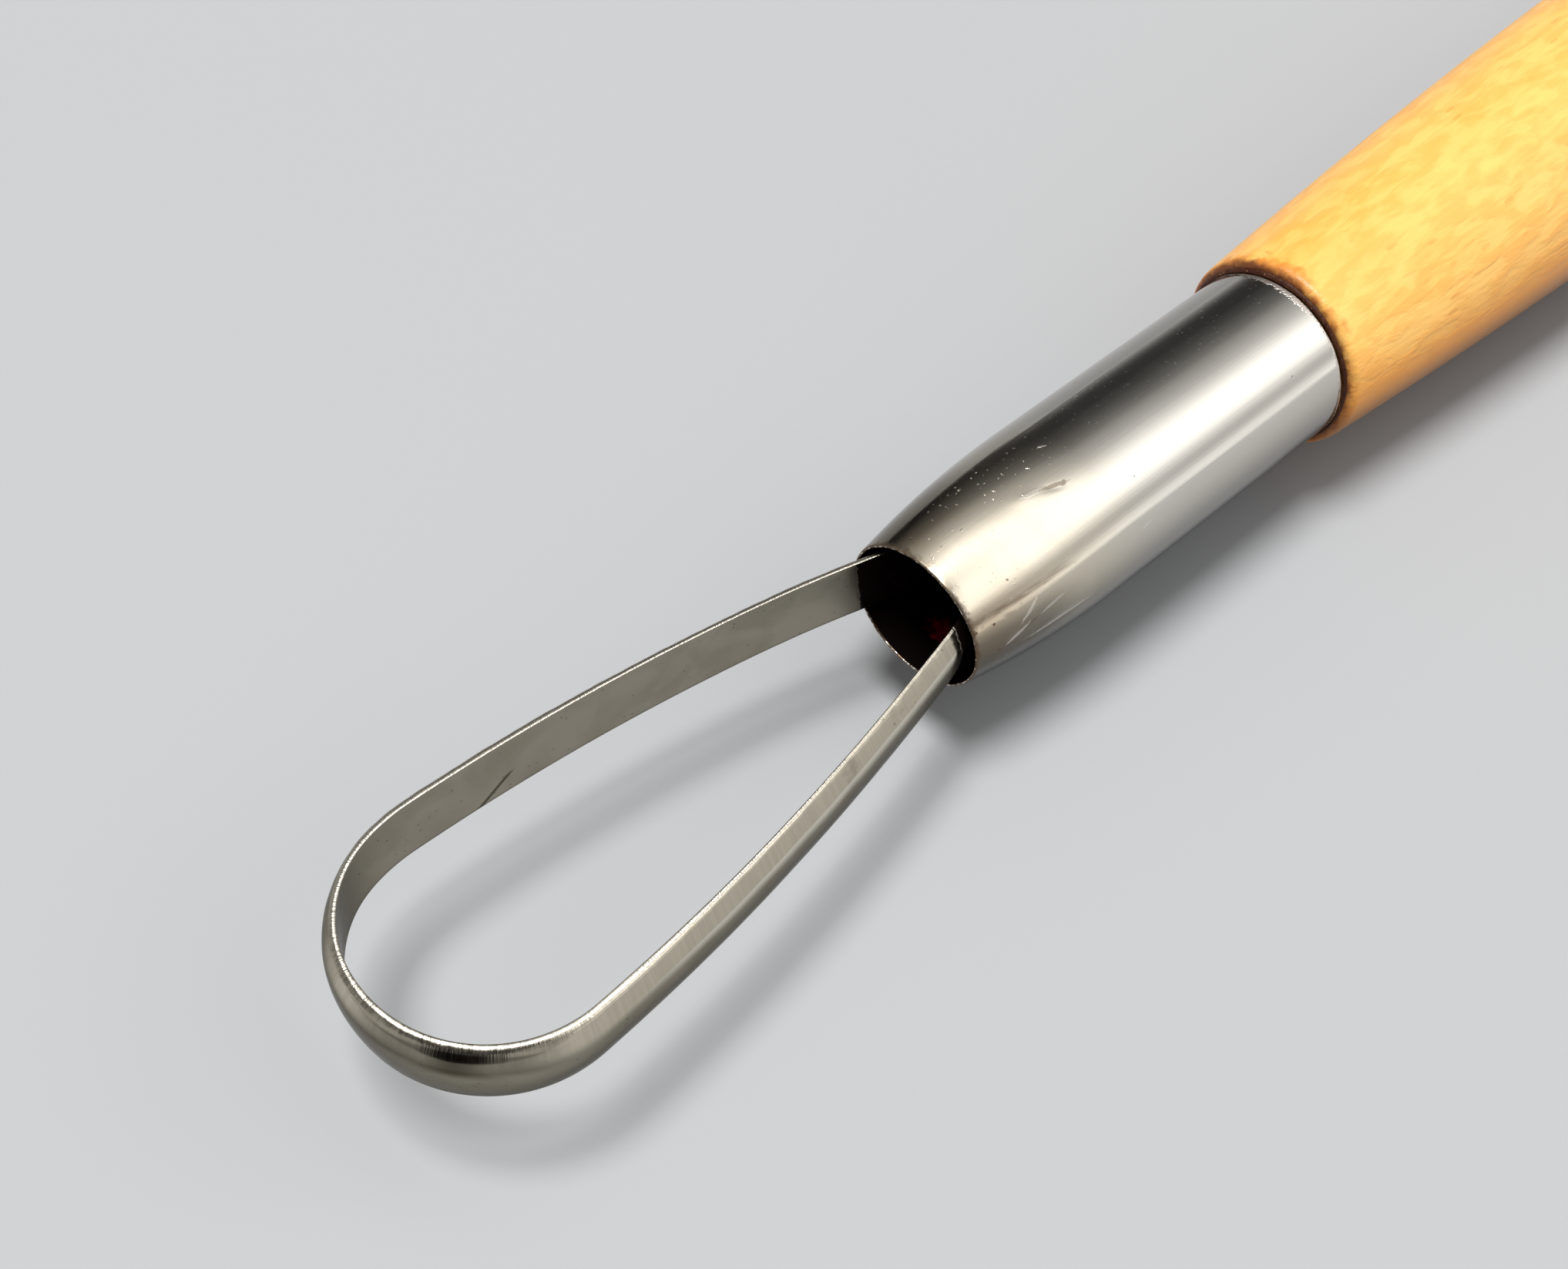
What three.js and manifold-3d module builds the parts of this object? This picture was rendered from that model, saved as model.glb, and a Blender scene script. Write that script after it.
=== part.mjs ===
// A double-ended ribbon tool for clay: a turned wooden handle with a ferrule on each end,
// and in each ferrule a loop of steel ribbon whose two tails are set in resin.
//
// Millimetres, +Z up. X runs along the tool, with the pear-shaped loop at -X. The origin is the middle
// of the handle's underside, which is the flat that the tool lies on. Both loops are level.

import * as THREE from "three";
import { mergeVertices } from "three/addons/utils/BufferGeometryUtils.js";
import Module from "manifold-3d";

// Handle
const HANDLE_LENGTH = 106; // from shoulder to shoulder
const BELLY_DIAMETER = 12.5;
const BELLY_LENGTH = 18; // straight stretch in the middle
const SHOULDER_PROUD = 0.5; // how far the wood stands out round the ferrule, and its edge radius
const TENON_LENGTH = 14;
const TENON_CHAMFER = 0.6;

// Ferrules
const FERRULE_LENGTH = 21.8;
const FERRULE_DIAMETER = 8;
const FERRULE_WALL = 0.25;
const DRAWN_LENGTH = 8; // the stretch that is drawn in towards the mouth
const MOUTH_WIDTH = 6.6; // outside, in the plane of the loop
const MOUTH_HEIGHT = 6.15; // outside, across the plane of the loop

// Steel ribbon: flat inside, crowned outside
const RIBBON_WIDTH = 3.175;
const RIBBON_THICKNESS = 0.74; // at the crest
const RIBBON_LAND = 0.3; // width of the ground upper edge
const RIBBON_FOOT = 0.38; // width of the lower edge
const CREST_RISE = 0.5; // height of the crest above the middle of the ribbon
const TAIL_LENGTH = 16; // from the mouth to the end of a tail
const TAIL_BEND_RADIUS = 10; // where a leg turns parallel to the ferrule

// Loops, measured on the ribbon's inner face
const FRONT_LOOP = { reach: 26.5, noseFlat: 0, cornerRadius: 5.12, legRadius: 100 };
const REAR_LOOP = { reach: 23.5, noseFlat: 4.6, cornerRadius: 2.6, legRadius: 240 };

// Resin and glue
const RESIN_RECESS = 4.5; // from the mouth to the face of the resin
const BEAD_SIZE = 0.42;

// Clearances
const GLUE_GAP = 0.3; // round tenon, resin and tails
const SHOULDER_GAP = 0.2; // between the ferrule's end and the wood
const MOUTH_CLEARANCE = 0.08; // between a leg and the ferrule's mouth
const BEAD_GAP = 0.1; // between the glue bead and what it lies on

// Fineness of the facets
const SIDES = 32; // round the handle and the ferrules
const TAPER_STEPS = 10;
const EDGE_STEPS = 3;
const DRAWN_STEPS = 7;
const RIBBON_STEP = 0.7;

const AXIS_HEIGHT = BELLY_DIAMETER / 2;
const FERRULE_RADIUS = FERRULE_DIAMETER / 2;
const SHOULDER_RADIUS = FERRULE_RADIUS + SHOULDER_PROUD;
const BORE_RADIUS = FERRULE_RADIUS - FERRULE_WALL;
const SHOULDER_X = FERRULE_LENGTH + SHOULDER_GAP; // measured from the mouth, as all of an end is
const TENON_X = SHOULDER_X - TENON_LENGTH;

const wasm = await Module();
wasm.setup();

// The closed mesh of a geometry as a solid that can be cut.
function solidOf(geometry) {
  const bare = geometry.clone();
  bare.deleteAttribute("normal");
  bare.deleteAttribute("uv");
  const merged = mergeVertices(bare, 1e-4);
  return new wasm.Manifold(
    new wasm.Mesh({
      numProp: 3,
      vertProperties: new Float32Array(merged.attributes.position.array),
      triVerts: new Uint32Array(merged.index.array),
    }),
  );
}

// A cut solid as a geometry with flat faces.
function geometryOf(solid) {
  const mesh = solid.getMesh();
  const geometry = new THREE.BufferGeometry();
  geometry.setAttribute("position", new THREE.BufferAttribute(mesh.vertProperties, 3));
  geometry.setIndex(new THREE.BufferAttribute(mesh.triVerts, 1));
  const flat = geometry.toNonIndexed();
  flat.computeVertexNormals();
  return flat;
}

// A profile of [x, radius] points turned about the X axis. Its outside runs towards +X. One flat side faces straight down,
// and the sides touch the true circle, so that a radius is measured across the flats.
function turned(profile) {
  const grow = 1 / Math.cos(Math.PI / SIDES);
  const points = profile.map(([x, radius]) => new THREE.Vector2(radius * grow, x));
  const geometry = new THREE.LatheGeometry(points, SIDES, Math.PI / SIDES);
  return geometry.rotateZ(-Math.PI / 2);
}

// Evenly spread fractions from 0 to 1, both ends included.
function fractions(steps) {
  return Array.from({ length: steps + 1 }, (_, i) => i / steps);
}

// How far the drawn stretch comes in from a mouth half-size: a smooth curve that ends along the tube.
function drawnIn(x, mouthHalf) {
  const left = Math.max(0, 1 - x / DRAWN_LENGTH);
  return (FERRULE_RADIUS - mouthHalf) * left ** 2;
}

// Presses a round geometry in towards the oval mouth, with its wall as thick as before.
function pressMouth(geometry) {
  const position = geometry.attributes.position;
  for (let i = 0; i < position.count; i++) {
    const [x, y, z] = [position.getX(i), position.getY(i), position.getZ(i)];
    const radius = Math.hypot(y, z);
    if (radius === 0) continue;
    const wide = (radius - drawnIn(x, MOUTH_WIDTH / 2)) / radius;
    const high = (radius - drawnIn(x, MOUTH_HEIGHT / 2)) / radius;
    position.setXYZ(i, x, y * wide, z * high);
  }
  geometry.computeVertexNormals();
  return geometry;
}

// The ribbon's section as [offset outwards from the inner face, height] points.
const RIBBON_SECTION = [
  [0, -RIBBON_WIDTH / 2],
  [RIBBON_FOOT, -RIBBON_WIDTH / 2],
  [RIBBON_THICKNESS, CREST_RISE],
  [RIBBON_LAND, RIBBON_WIDTH / 2],
  [0, RIBBON_WIDTH / 2],
];

// Half the distance between a loop's legs at the mouth: as far apart as the oval bore lets them lie.
function legHalfGap() {
  const boreHalfWidth = MOUTH_WIDTH / 2 - FERRULE_WALL - MOUTH_CLEARANCE;
  const boreHalfHeight = MOUTH_HEIGHT / 2 - FERRULE_WALL - MOUTH_CLEARANCE;
  const room = RIBBON_SECTION.map(
    ([offset, height]) => boreHalfWidth * Math.sqrt(1 - (height / boreHalfHeight) ** 2) - offset,
  );
  return Math.min(...room);
}

// The inner line of one half of a loop. From the middle of the nose it runs along the nose's flat,
// round the corner arc, and along the leg arc, which touches the corner arc and ends at the mouth.
// There a small arc turns it parallel to the ferrule, and a straight tail ends it.
function halfLoop({ reach, noseFlat, cornerRadius, legRadius }) {
  const corner = new THREE.Vector2(RIBBON_THICKNESS - reach + cornerRadius, noseFlat / 2);
  const mouth = new THREE.Vector2(0, legHalfGap());
  const span = mouth.clone().sub(corner);
  const between = legRadius - cornerRadius;
  const cosine = (legRadius ** 2 - between ** 2 - span.lengthSq()) / (2 * between * span.length());
  const touch = span.angle() + Math.acos(cosine);
  const leg = corner.clone().sub(new THREE.Vector2(Math.cos(touch), Math.sin(touch)).multiplyScalar(between));
  const legEnd = mouth.clone().sub(leg).angle();
  const bend = mouth.clone().sub(leg).setLength(legRadius + TAIL_BEND_RADIUS).add(leg);
  return { corner, cornerRadius, touch, leg, legRadius, legEnd, bend, tail: bend.y - TAIL_BEND_RADIUS };
}

// The whole inner line of a loop, from the end of one tail round the nose to the end of the other.
function loopLine(size) {
  const half = halfLoop(size);
  const { corner, cornerRadius, touch, leg, legRadius, legEnd, bend, tail } = half;
  const line = new THREE.Path();
  line.moveTo(TAIL_LENGTH, -tail);
  line.lineTo(bend.x, -tail);
  line.absarc(bend.x, -bend.y, TAIL_BEND_RADIUS, Math.PI / 2, Math.PI - legEnd, false);
  line.absarc(leg.x, -leg.y, legRadius, -legEnd, -touch, true);
  line.absarc(corner.x, -corner.y, cornerRadius, -touch, -Math.PI, true);
  line.lineTo(corner.x - cornerRadius, corner.y);
  line.absarc(corner.x, corner.y, cornerRadius, Math.PI, touch, true);
  line.absarc(leg.x, leg.y, legRadius, touch, legEnd, true);
  line.absarc(bend.x, bend.y, TAIL_BEND_RADIUS, legEnd - Math.PI, -Math.PI / 2, false);
  line.lineTo(TAIL_LENGTH, tail);
  return line;
}

// A flat path as a curve in space that a shape can be extruded along.
class LevelCurve extends THREE.Curve {
  constructor(line) {
    super();
    this.line = line;
    this.arcLengthDivisions = 1000;
    this.line.arcLengthDivisions = 1000;
  }
  getPoint(t, target = new THREE.Vector3()) {
    const point = this.line.getPointAt(t);
    return target.set(point.x, point.y, 0);
  }
}

// The extrusion's frame has its first axis pointing down and its second out of the loop.
function ribbonLoop(size) {
  const section = new THREE.Shape(RIBBON_SECTION.map(([offset, height]) => new THREE.Vector2(-height, offset)));
  const curve = new LevelCurve(loopLine(size));
  const steps = Math.round(curve.getLength() / RIBBON_STEP);
  return new THREE.ExtrudeGeometry(section, { steps, extrudePath: curve, bevelEnabled: false });
}

function ferrule() {
  const stations = fractions(DRAWN_STEPS).map((part) => part * DRAWN_LENGTH);
  const outside = [...stations, FERRULE_LENGTH].map((x) => [x, FERRULE_RADIUS]);
  const inside = [...stations, FERRULE_LENGTH].map((x) => [x, BORE_RADIUS]).reverse();
  return pressMouth(turned([...outside, ...inside, outside[0]]));
}

// Half the gap between the parallel tails inside a ferrule.
function tailHalfGap(size) {
  return halfLoop(size).tail;
}

// Cuts the two side grooves that a loop's tails lie in. Each is open to the side, and runs from
// ahead of the piece to just past the end of the tail.
function cutTailGrooves(solid, size) {
  const length = TAIL_LENGTH + GLUE_GAP;
  const floor = tailHalfGap(size) - GLUE_GAP;
  const depth = FERRULE_RADIUS;
  const height = RIBBON_WIDTH + 2 * GLUE_GAP;
  return [-1, 1].reduce((cut, side) => {
    const groove = new THREE.BoxGeometry(length, depth, height);
    groove.translate(length / 2, side * (floor + depth / 2), 0);
    return cut.subtract(solidOf(groove));
  }, solid);
}

// The resin fills the bore from its recess to the tenon.
function resinPlug(size) {
  const radius = BORE_RADIUS - GLUE_GAP;
  const back = TENON_X - GLUE_GAP;
  const stations = fractions(DRAWN_STEPS).map((part) => RESIN_RECESS + part * (back - RESIN_RECESS));
  const profile = [[RESIN_RECESS, 0], ...stations.map((x) => [x, radius]), [back, 0]];
  return geometryOf(cutTailGrooves(solidOf(pressMouth(turned(profile))), size));
}

// The glue bead lies in the corner between the ferrule's end and the rounded shoulder.
function glueBead() {
  const inner = FERRULE_RADIUS + BEAD_GAP;
  const back = SHOULDER_X - BEAD_GAP;
  const profile = [
    [back, inner],
    [back - BEAD_SIZE, inner],
    [back - BEAD_SIZE / 3, inner + (BEAD_SIZE * 2) / 3],
    [back, inner + BEAD_SIZE],
    [back, inner],
  ];
  return turned(profile);
}

// One half of the handle's profile, from the end of the tenon to the middle of the belly, with x
// measured from the middle.
function handleHalf() {
  const shoulder = -HANDLE_LENGTH / 2;
  const tenonRadius = BORE_RADIUS - GLUE_GAP;
  const edge = fractions(EDGE_STEPS).map((part) => {
    const turn = (part * Math.PI) / 2;
    return [
      shoulder + SHOULDER_PROUD * (1 - Math.cos(turn)),
      FERRULE_RADIUS + SHOULDER_PROUD * Math.sin(turn),
    ];
  });
  const taperStart = shoulder + SHOULDER_PROUD;
  const taperLength = -BELLY_LENGTH / 2 - taperStart;
  const swell = BELLY_DIAMETER / 2 - SHOULDER_RADIUS;
  const taper = fractions(TAPER_STEPS)
    .slice(1)
    .map((part) => [taperStart + part * taperLength, SHOULDER_RADIUS + swell * (1 - (1 - part) ** 2)]);
  return [
    [shoulder - TENON_LENGTH, 0],
    [shoulder - TENON_LENGTH, tenonRadius - TENON_CHAMFER],
    [shoulder - TENON_LENGTH + TENON_CHAMFER, tenonRadius],
    [shoulder, tenonRadius],
    ...edge,
    ...taper,
  ];
}

// Where the mouth of an end lies from the middle of the handle.
const MOUTH_X = HANDLE_LENGTH / 2 + SHOULDER_X;

function handle() {
  const half = handleHalf();
  const other = half.map(([x, radius]) => [-x, radius]).reverse();
  const blank = solidOf(turned([...half, ...other]));
  const frontCut = cutTailGrooves(blank.translate([MOUTH_X, 0, 0]), FRONT_LOOP);
  const turnedRound = frontCut.translate([-MOUTH_X, 0, 0]).rotate([0, 0, 180]);
  const bothCut = cutTailGrooves(turnedRound.translate([MOUTH_X, 0, 0]), REAR_LOOP);
  return geometryOf(bothCut.translate([-MOUTH_X, 0, 0]).rotate([0, 0, 180]));
}

const FINISHES = {
  wood: { color: 0xe3ac5c, roughness: 0.35, metalness: 0 },
  nickel: { color: 0xc9c5bd, roughness: 0.15, metalness: 1 },
  steel: { color: 0xb5b2aa, roughness: 0.3, metalness: 1 },
  resin: { color: 0x4a0d0a, roughness: 0.15, metalness: 0 },
  glue: { color: 0x4a2411, roughness: 0.5, metalness: 0 },
};

function piece(name, geometry, finish) {
  const mesh = new THREE.Mesh(geometry, new THREE.MeshStandardMaterial(FINISHES[finish]));
  mesh.name = name;
  return mesh;
}

// One end of the tool, with its mouth at the group's origin and the handle towards +X.
function endOf(side, size) {
  const end = new THREE.Group();
  end.add(
    piece(`${side}_ribbon_loop`, ribbonLoop(size), "steel"),
    piece(`${side}_ferrule`, ferrule(), "nickel"),
    piece(`${side}_resin_plug`, resinPlug(size), "resin"),
    piece(`${side}_glue_bead`, glueBead(), "glue"),
  );
  return end;
}

const tool = new THREE.Group();
tool.position.z = AXIS_HEIGHT;

const front = endOf("front", FRONT_LOOP);
front.position.x = -MOUTH_X;

const rear = endOf("rear", REAR_LOOP);
rear.position.x = MOUTH_X;
rear.rotation.z = Math.PI;

tool.add(piece("handle", handle(), "wood"), front, rear);

export default tool;
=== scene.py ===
"""Looks of a double-ended ribbon tool for clay.

A turned and lacquered handle carries a nickel ferrule on each end, and each ferrule holds a loop of ground
steel strip, set in dark red resin. Every piece is worked out here as a surface on a grid and stands for the
plain solid of the same piece. Sizes are in millimetres up to the point where a mesh is made.

The places within one end of the tool are given in its own frame: the middle of the ferrule's mouth is the
origin, X runs into the handle and Z is up.
"""

import logging
import math
from abc import ABC, abstractmethod
from dataclasses import dataclass, field
from enum import Enum
from functools import reduce
from typing import ClassVar

import bmesh
import bpy
import numpy as np
from mathutils import Matrix, Vector


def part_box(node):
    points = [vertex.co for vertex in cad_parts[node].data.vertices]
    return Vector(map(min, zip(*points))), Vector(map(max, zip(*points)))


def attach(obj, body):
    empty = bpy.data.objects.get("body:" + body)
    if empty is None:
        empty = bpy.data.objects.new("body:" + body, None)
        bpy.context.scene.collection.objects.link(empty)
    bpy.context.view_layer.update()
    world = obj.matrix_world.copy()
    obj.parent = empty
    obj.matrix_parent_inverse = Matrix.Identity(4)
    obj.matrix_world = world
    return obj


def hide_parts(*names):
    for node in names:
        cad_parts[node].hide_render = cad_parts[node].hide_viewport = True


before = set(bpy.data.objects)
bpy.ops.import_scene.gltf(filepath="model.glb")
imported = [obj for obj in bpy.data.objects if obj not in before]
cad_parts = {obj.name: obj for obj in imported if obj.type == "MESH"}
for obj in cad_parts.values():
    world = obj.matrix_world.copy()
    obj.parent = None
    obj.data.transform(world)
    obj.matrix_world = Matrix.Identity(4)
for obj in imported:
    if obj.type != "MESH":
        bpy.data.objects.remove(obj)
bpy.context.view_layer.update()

LOG = logging.getLogger("ribbon_tool")
MM = 0.001
BODY = "root"
STRIP_MAP = "strip"

Socket = bpy.types.NodeSocket
Node = bpy.types.Node
Array = np.ndarray
Colour = tuple[float, float, float]
Place = tuple[float, float, float]
Span = tuple[float, float]
Inputs = dict[str | int, object]


class Slot(Enum):
    """The finishes that the record names."""

    WOOD = "lacquered_wood"
    NICKEL = "nickel_ferrule"
    STEEL = "ribbon_steel"
    RESIN = "red_resin"
    GLUE = "brown_glue"


class End(Enum):
    """The two ends of the tool. The value is the way along X from the mouth into the handle."""

    FRONT = 1
    REAR = -1

    def node(self, piece: str) -> str:
        """The name of this end's solid of a piece."""
        return f"{self.name.lower()}_{piece}"


def box_mm(node: str) -> tuple[Vector, Vector]:
    """The lowest and highest corner of a solid, in millimetres."""
    low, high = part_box(node)
    return low / MM, high / MM


def place_in_tool(points: Array, end: End, mouth: float, axis_height: float) -> Array:
    """Carries points from an end's own frame to the tool's.

    The rear end is the front one turned half round about Z, which changes the sign of X and Y.

    Args:
        points: Places in the end's frame.
        end: Which end.
        mouth: Distance of the mouth from the middle of the tool.
        axis_height: Height of the handle's axis.

    Returns:
        The places in the tool's frame.
    """
    turned = points * [end.value, end.value, 1]
    return turned + [-end.value * mouth, 0, axis_height]


def grid_corners(rows: int, columns: int, ring: bool) -> tuple[Array, Array]:
    """The corners of a grid's quads. Columns always close on themselves.

    Quad (i, j) joins points (i, j), (i, j + 1), (i + 1, j + 1) and (i + 1, j).

    Args:
        rows: Number of rows of points.
        columns: Number of columns of points.
        ring: Whether the rows close on themselves as well.

    Returns:
        Row numbers and column numbers, each as quads by 4, counted on past the seam.
    """
    i, j = np.meshgrid(np.arange(rows if ring else rows - 1), np.arange(columns), indexing="ij")
    row = np.stack([i, i, i + 1, i + 1], axis=-1).reshape(-1, 4)
    column = np.stack([j, j + 1, j + 1, j], axis=-1).reshape(-1, 4)
    return row, column


def add_surface(name: str, points: Array, ring: bool = False, strip: tuple[Array, Array] | None = None,
                sharp: float = 40) -> bpy.types.Object:
    """Makes a closed mesh object from a grid of points.

    Rows that shrink to one point become poles when the doubles are merged. The normals are then worked out
    again, so that all faces point outwards.

    Args:
        name: The piece's name.
        points: Places in millimetres, as rows by columns by 3.
        ring: Whether the rows close on themselves.
        strip: Lengths along the rows and along the columns for a UV map, each with one value more than the
            grid has points in a direction that closes.
        sharp: Angle in degrees past which an edge is shaded as a sharp one.

    Returns:
        The object, at the origin.
    """
    rows, columns = points.shape[:2]
    row, column = grid_corners(rows, columns, ring)
    faces = (row % rows) * columns + column % columns
    mesh = bpy.data.meshes.new(name)
    mesh.vertices.add(rows * columns)
    mesh.vertices.foreach_set("co", (points * MM).astype(np.float32).ravel())
    mesh.loops.add(faces.size)
    mesh.loops.foreach_set("vertex_index", faces.astype(np.int32).ravel())
    mesh.polygons.add(len(faces))
    mesh.polygons.foreach_set("loop_start", np.arange(0, faces.size, 4, dtype=np.int32))
    if strip is not None:
        along, across = strip
        layer = mesh.uv_layers.new(name=STRIP_MAP)
        layer.uv.foreach_set("vector", np.stack([along[row], across[column]], -1).astype(np.float32).ravel())
    mesh.update(calc_edges=True)
    mesh.validate()
    work = bmesh.new()
    work.from_mesh(mesh)
    bmesh.ops.remove_doubles(work, verts=work.verts, dist=1e-7)
    bmesh.ops.recalc_face_normals(work, faces=work.faces)
    work.to_mesh(mesh)
    work.free()
    mesh.shade_smooth()
    mesh.set_sharp_from_angle(angle=math.radians(sharp))
    piece = bpy.data.objects.new(name, mesh)
    bpy.context.collection.objects.link(piece)
    LOG.info("%s: %d faces", name, len(mesh.polygons))
    return piece


def waves(place: Array, lengths: tuple[float, ...], start: float) -> Array:
    """A slow, uneven ripple from -1 to 1: the mean of sine waves, each shifted by its own amount.

    Args:
        place: Where the ripple is wanted.
        lengths: The wave lengths, in the unit of place.
        start: Shifts the waves, so that two pieces differ.

    Returns:
        The ripple at each place.
    """
    turns = [np.sin(2 * np.pi * place / length + start * (k + 1)) for k, length in enumerate(lengths)]
    return np.mean(turns, axis=0)


def round_angles(columns: int) -> Array:
    """Evenly spread angles round the tool's axis, from straight up towards +Y."""
    return np.linspace(0, 2 * np.pi, columns, endpoint=False)


def evenly_between(knots: tuple[float, ...], steps: tuple[int, ...]) -> Array:
    """Evenly spaced places from each knot to the next, with so many steps between them."""
    parts = [np.linspace(a, b, count + 1)[1:] for a, b, count in zip(knots, knots[1:], steps)]
    return np.concatenate([[knots[0]], *parts])


@dataclass(frozen=True)
class Value:
    """A number that changes over a surface. Sums with it become nodes of its sheet.

    Attributes:
        sheet: The sheet that the nodes go to.
        socket: The output that gives the number.
    """

    sheet: "NodeSheet"
    socket: Socket

    def __add__(self, other: "Value | float") -> "Value":
        """The sum."""
        return self.sheet.math("ADD", self, other)

    def __sub__(self, other: "Value | float") -> "Value":
        """The difference."""
        return self.sheet.math("SUBTRACT", self, other)

    def __rsub__(self, other: float) -> "Value":
        """The difference from a plain number."""
        return self.sheet.math("SUBTRACT", other, self)

    def __mul__(self, other: "Value | float") -> "Value":
        """The product."""
        return self.sheet.math("MULTIPLY", self, other)

    def __truediv__(self, other: "Value | float") -> "Value":
        """The quotient."""
        return self.sheet.math("DIVIDE", self, other)

    def __rtruediv__(self, other: float) -> "Value":
        """The quotient of a plain number and this one."""
        return self.sheet.math("DIVIDE", other, self)

    def __pow__(self, power: float) -> "Value":
        """The power."""
        return self.sheet.math("POWER", self, power)

    def __abs__(self) -> "Value":
        """The value without its sign."""
        return self.sheet.math("ABSOLUTE", self)

    __radd__ = __add__
    __rmul__ = __mul__

    def step(self, low: float, high: float, first: float = 0.0, last: float = 1.0) -> "Value":
        """A smooth step from first to last, while this value goes from low to high."""
        inputs = {"Value": self, "From Min": low, "From Max": high, "To Min": first, "To Max": last}
        return self.sheet.value("MapRange", inputs, interpolation_type="SMOOTHSTEP")

    def between(self, low: float, high: float, soft: float) -> "Value":
        """1 where this value lies between low and high, with edges that are soft by so much either way."""
        return self.step(low - soft, low + soft) * self.step(high - soft, high + soft, 1.0, 0.0)


class NodeSheet:
    """Short calls for the nodes of one node tree."""

    def __init__(self, tree: bpy.types.NodeTree) -> None:
        """Keeps the tree that the nodes go into."""
        self.tree = tree

    def feed(self, target: Socket, value: object) -> None:
        """Links a value or socket to the target, or writes a number or colour into it."""
        source = value.socket if isinstance(value, Value) else value
        if isinstance(source, Socket):
            self.tree.links.new(source, target)
        elif target.type == "RGBA" and len(source) == 3:
            target.default_value = (*source, 1)
        else:
            target.default_value = source

    def dress(self, node: Node, inputs: Inputs) -> None:
        """Feeds some of a node's inputs, which are given by name or number."""
        for key, value in inputs.items():
            self.feed(node.inputs[key], value)

    def add(self, kind: str, inputs: Inputs | None = None, **settings: object) -> Node:
        """Adds a node.

        Args:
            kind: The node's type, without its ShaderNode prefix.
            inputs: Numbers, colours, values or sockets for its inputs, by name or number.
            settings: Its other properties.

        Returns:
            The new node.
        """
        node = self.tree.nodes.new(f"ShaderNode{kind}")
        for key, value in settings.items():
            setattr(node, key, value)
        self.dress(node, inputs or {})
        return node

    def value(self, kind: str, inputs: Inputs, output: int | str = 0, **settings: object) -> Value:
        """Adds a node and gives one of its outputs as a value."""
        return Value(self, self.add(kind, inputs, **settings).outputs[output])

    def math(self, operation: str, a: object, b: object = 0.0, clamp: bool = False) -> Value:
        """One sum of two values."""
        return self.value("Math", {0: a, 1: b}, operation=operation, use_clamp=clamp)

    def largest(self, *values: Value) -> Value:
        """The largest of some values."""
        return reduce(lambda a, b: self.math("MAXIMUM", a, b), values)

    def degrees(self, across: Value, ahead: Value) -> Value:
        """The angle of a direction in degrees, from ahead towards across."""
        return self.math("ARCTAN2", across, ahead) * math.degrees(1)

    def blend(self, factor: Value, a: object, b: object) -> Value:
        """A mix of two values."""
        return self.value("Mix", {0: factor, 2: a, 3: b}, data_type="FLOAT")

    def mix(self, factor: object, a: object, b: object) -> Socket:
        """A mix of two colours."""
        return self.add("Mix", {0: factor, 6: a, 7: b}, data_type="RGBA").outputs[2]

    def vector_sum(self, operation: str, inputs: Inputs) -> Socket:
        """One sum of vectors or colours."""
        return self.add("VectorMath", inputs, operation=operation).outputs[0]

    def split(self, vector: object) -> list[Value]:
        """The three parts of a vector."""
        return [Value(self, part) for part in self.add("SeparateXYZ", {0: vector}).outputs]

    def join(self, x: object, y: object, z: object) -> Socket:
        """A vector from its three parts."""
        return self.add("CombineXYZ", {0: x, 1: y, 2: z}).outputs[0]

    def scaled(self, vector: Socket, scale: Place) -> Socket:
        """A place stretched along each axis."""
        return self.add("Mapping", {"Vector": vector, "Scale": scale}).outputs[0]

    def noise(self, vector: object, scale: object, detail: float = 2.0, distortion: float = 0.0) -> Value:
        """Noise from 0 to 1."""
        inputs = {"Vector": vector, "Scale": scale, "Detail": detail, "Distortion": distortion}
        return self.value("TexNoise", inputs, "Fac")

    def bump(self, height: Value, distance: float, strength: float = 1.0,
             normal: Socket | None = None) -> Socket:
        """A normal bent by a height, whose full range is distance in metres."""
        inputs = {"Height": height, "Distance": distance, "Strength": strength}
        if normal is not None:
            inputs["Normal"] = normal
        return self.add("Bump", inputs).outputs[0]

    def place_mm(self) -> Socket:
        """The place on the piece, in millimetres of the tool's frame."""
        return self.scaled(self.add("TexCoord").outputs["Object"], (1 / MM, 1 / MM, 1 / MM))

    def strip_map(self) -> list[Value]:
        """The piece's own map: its values along and across the grid, and a third that is empty."""
        return self.split(self.add("UVMap", uv_map=STRIP_MAP).outputs[0])


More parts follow.
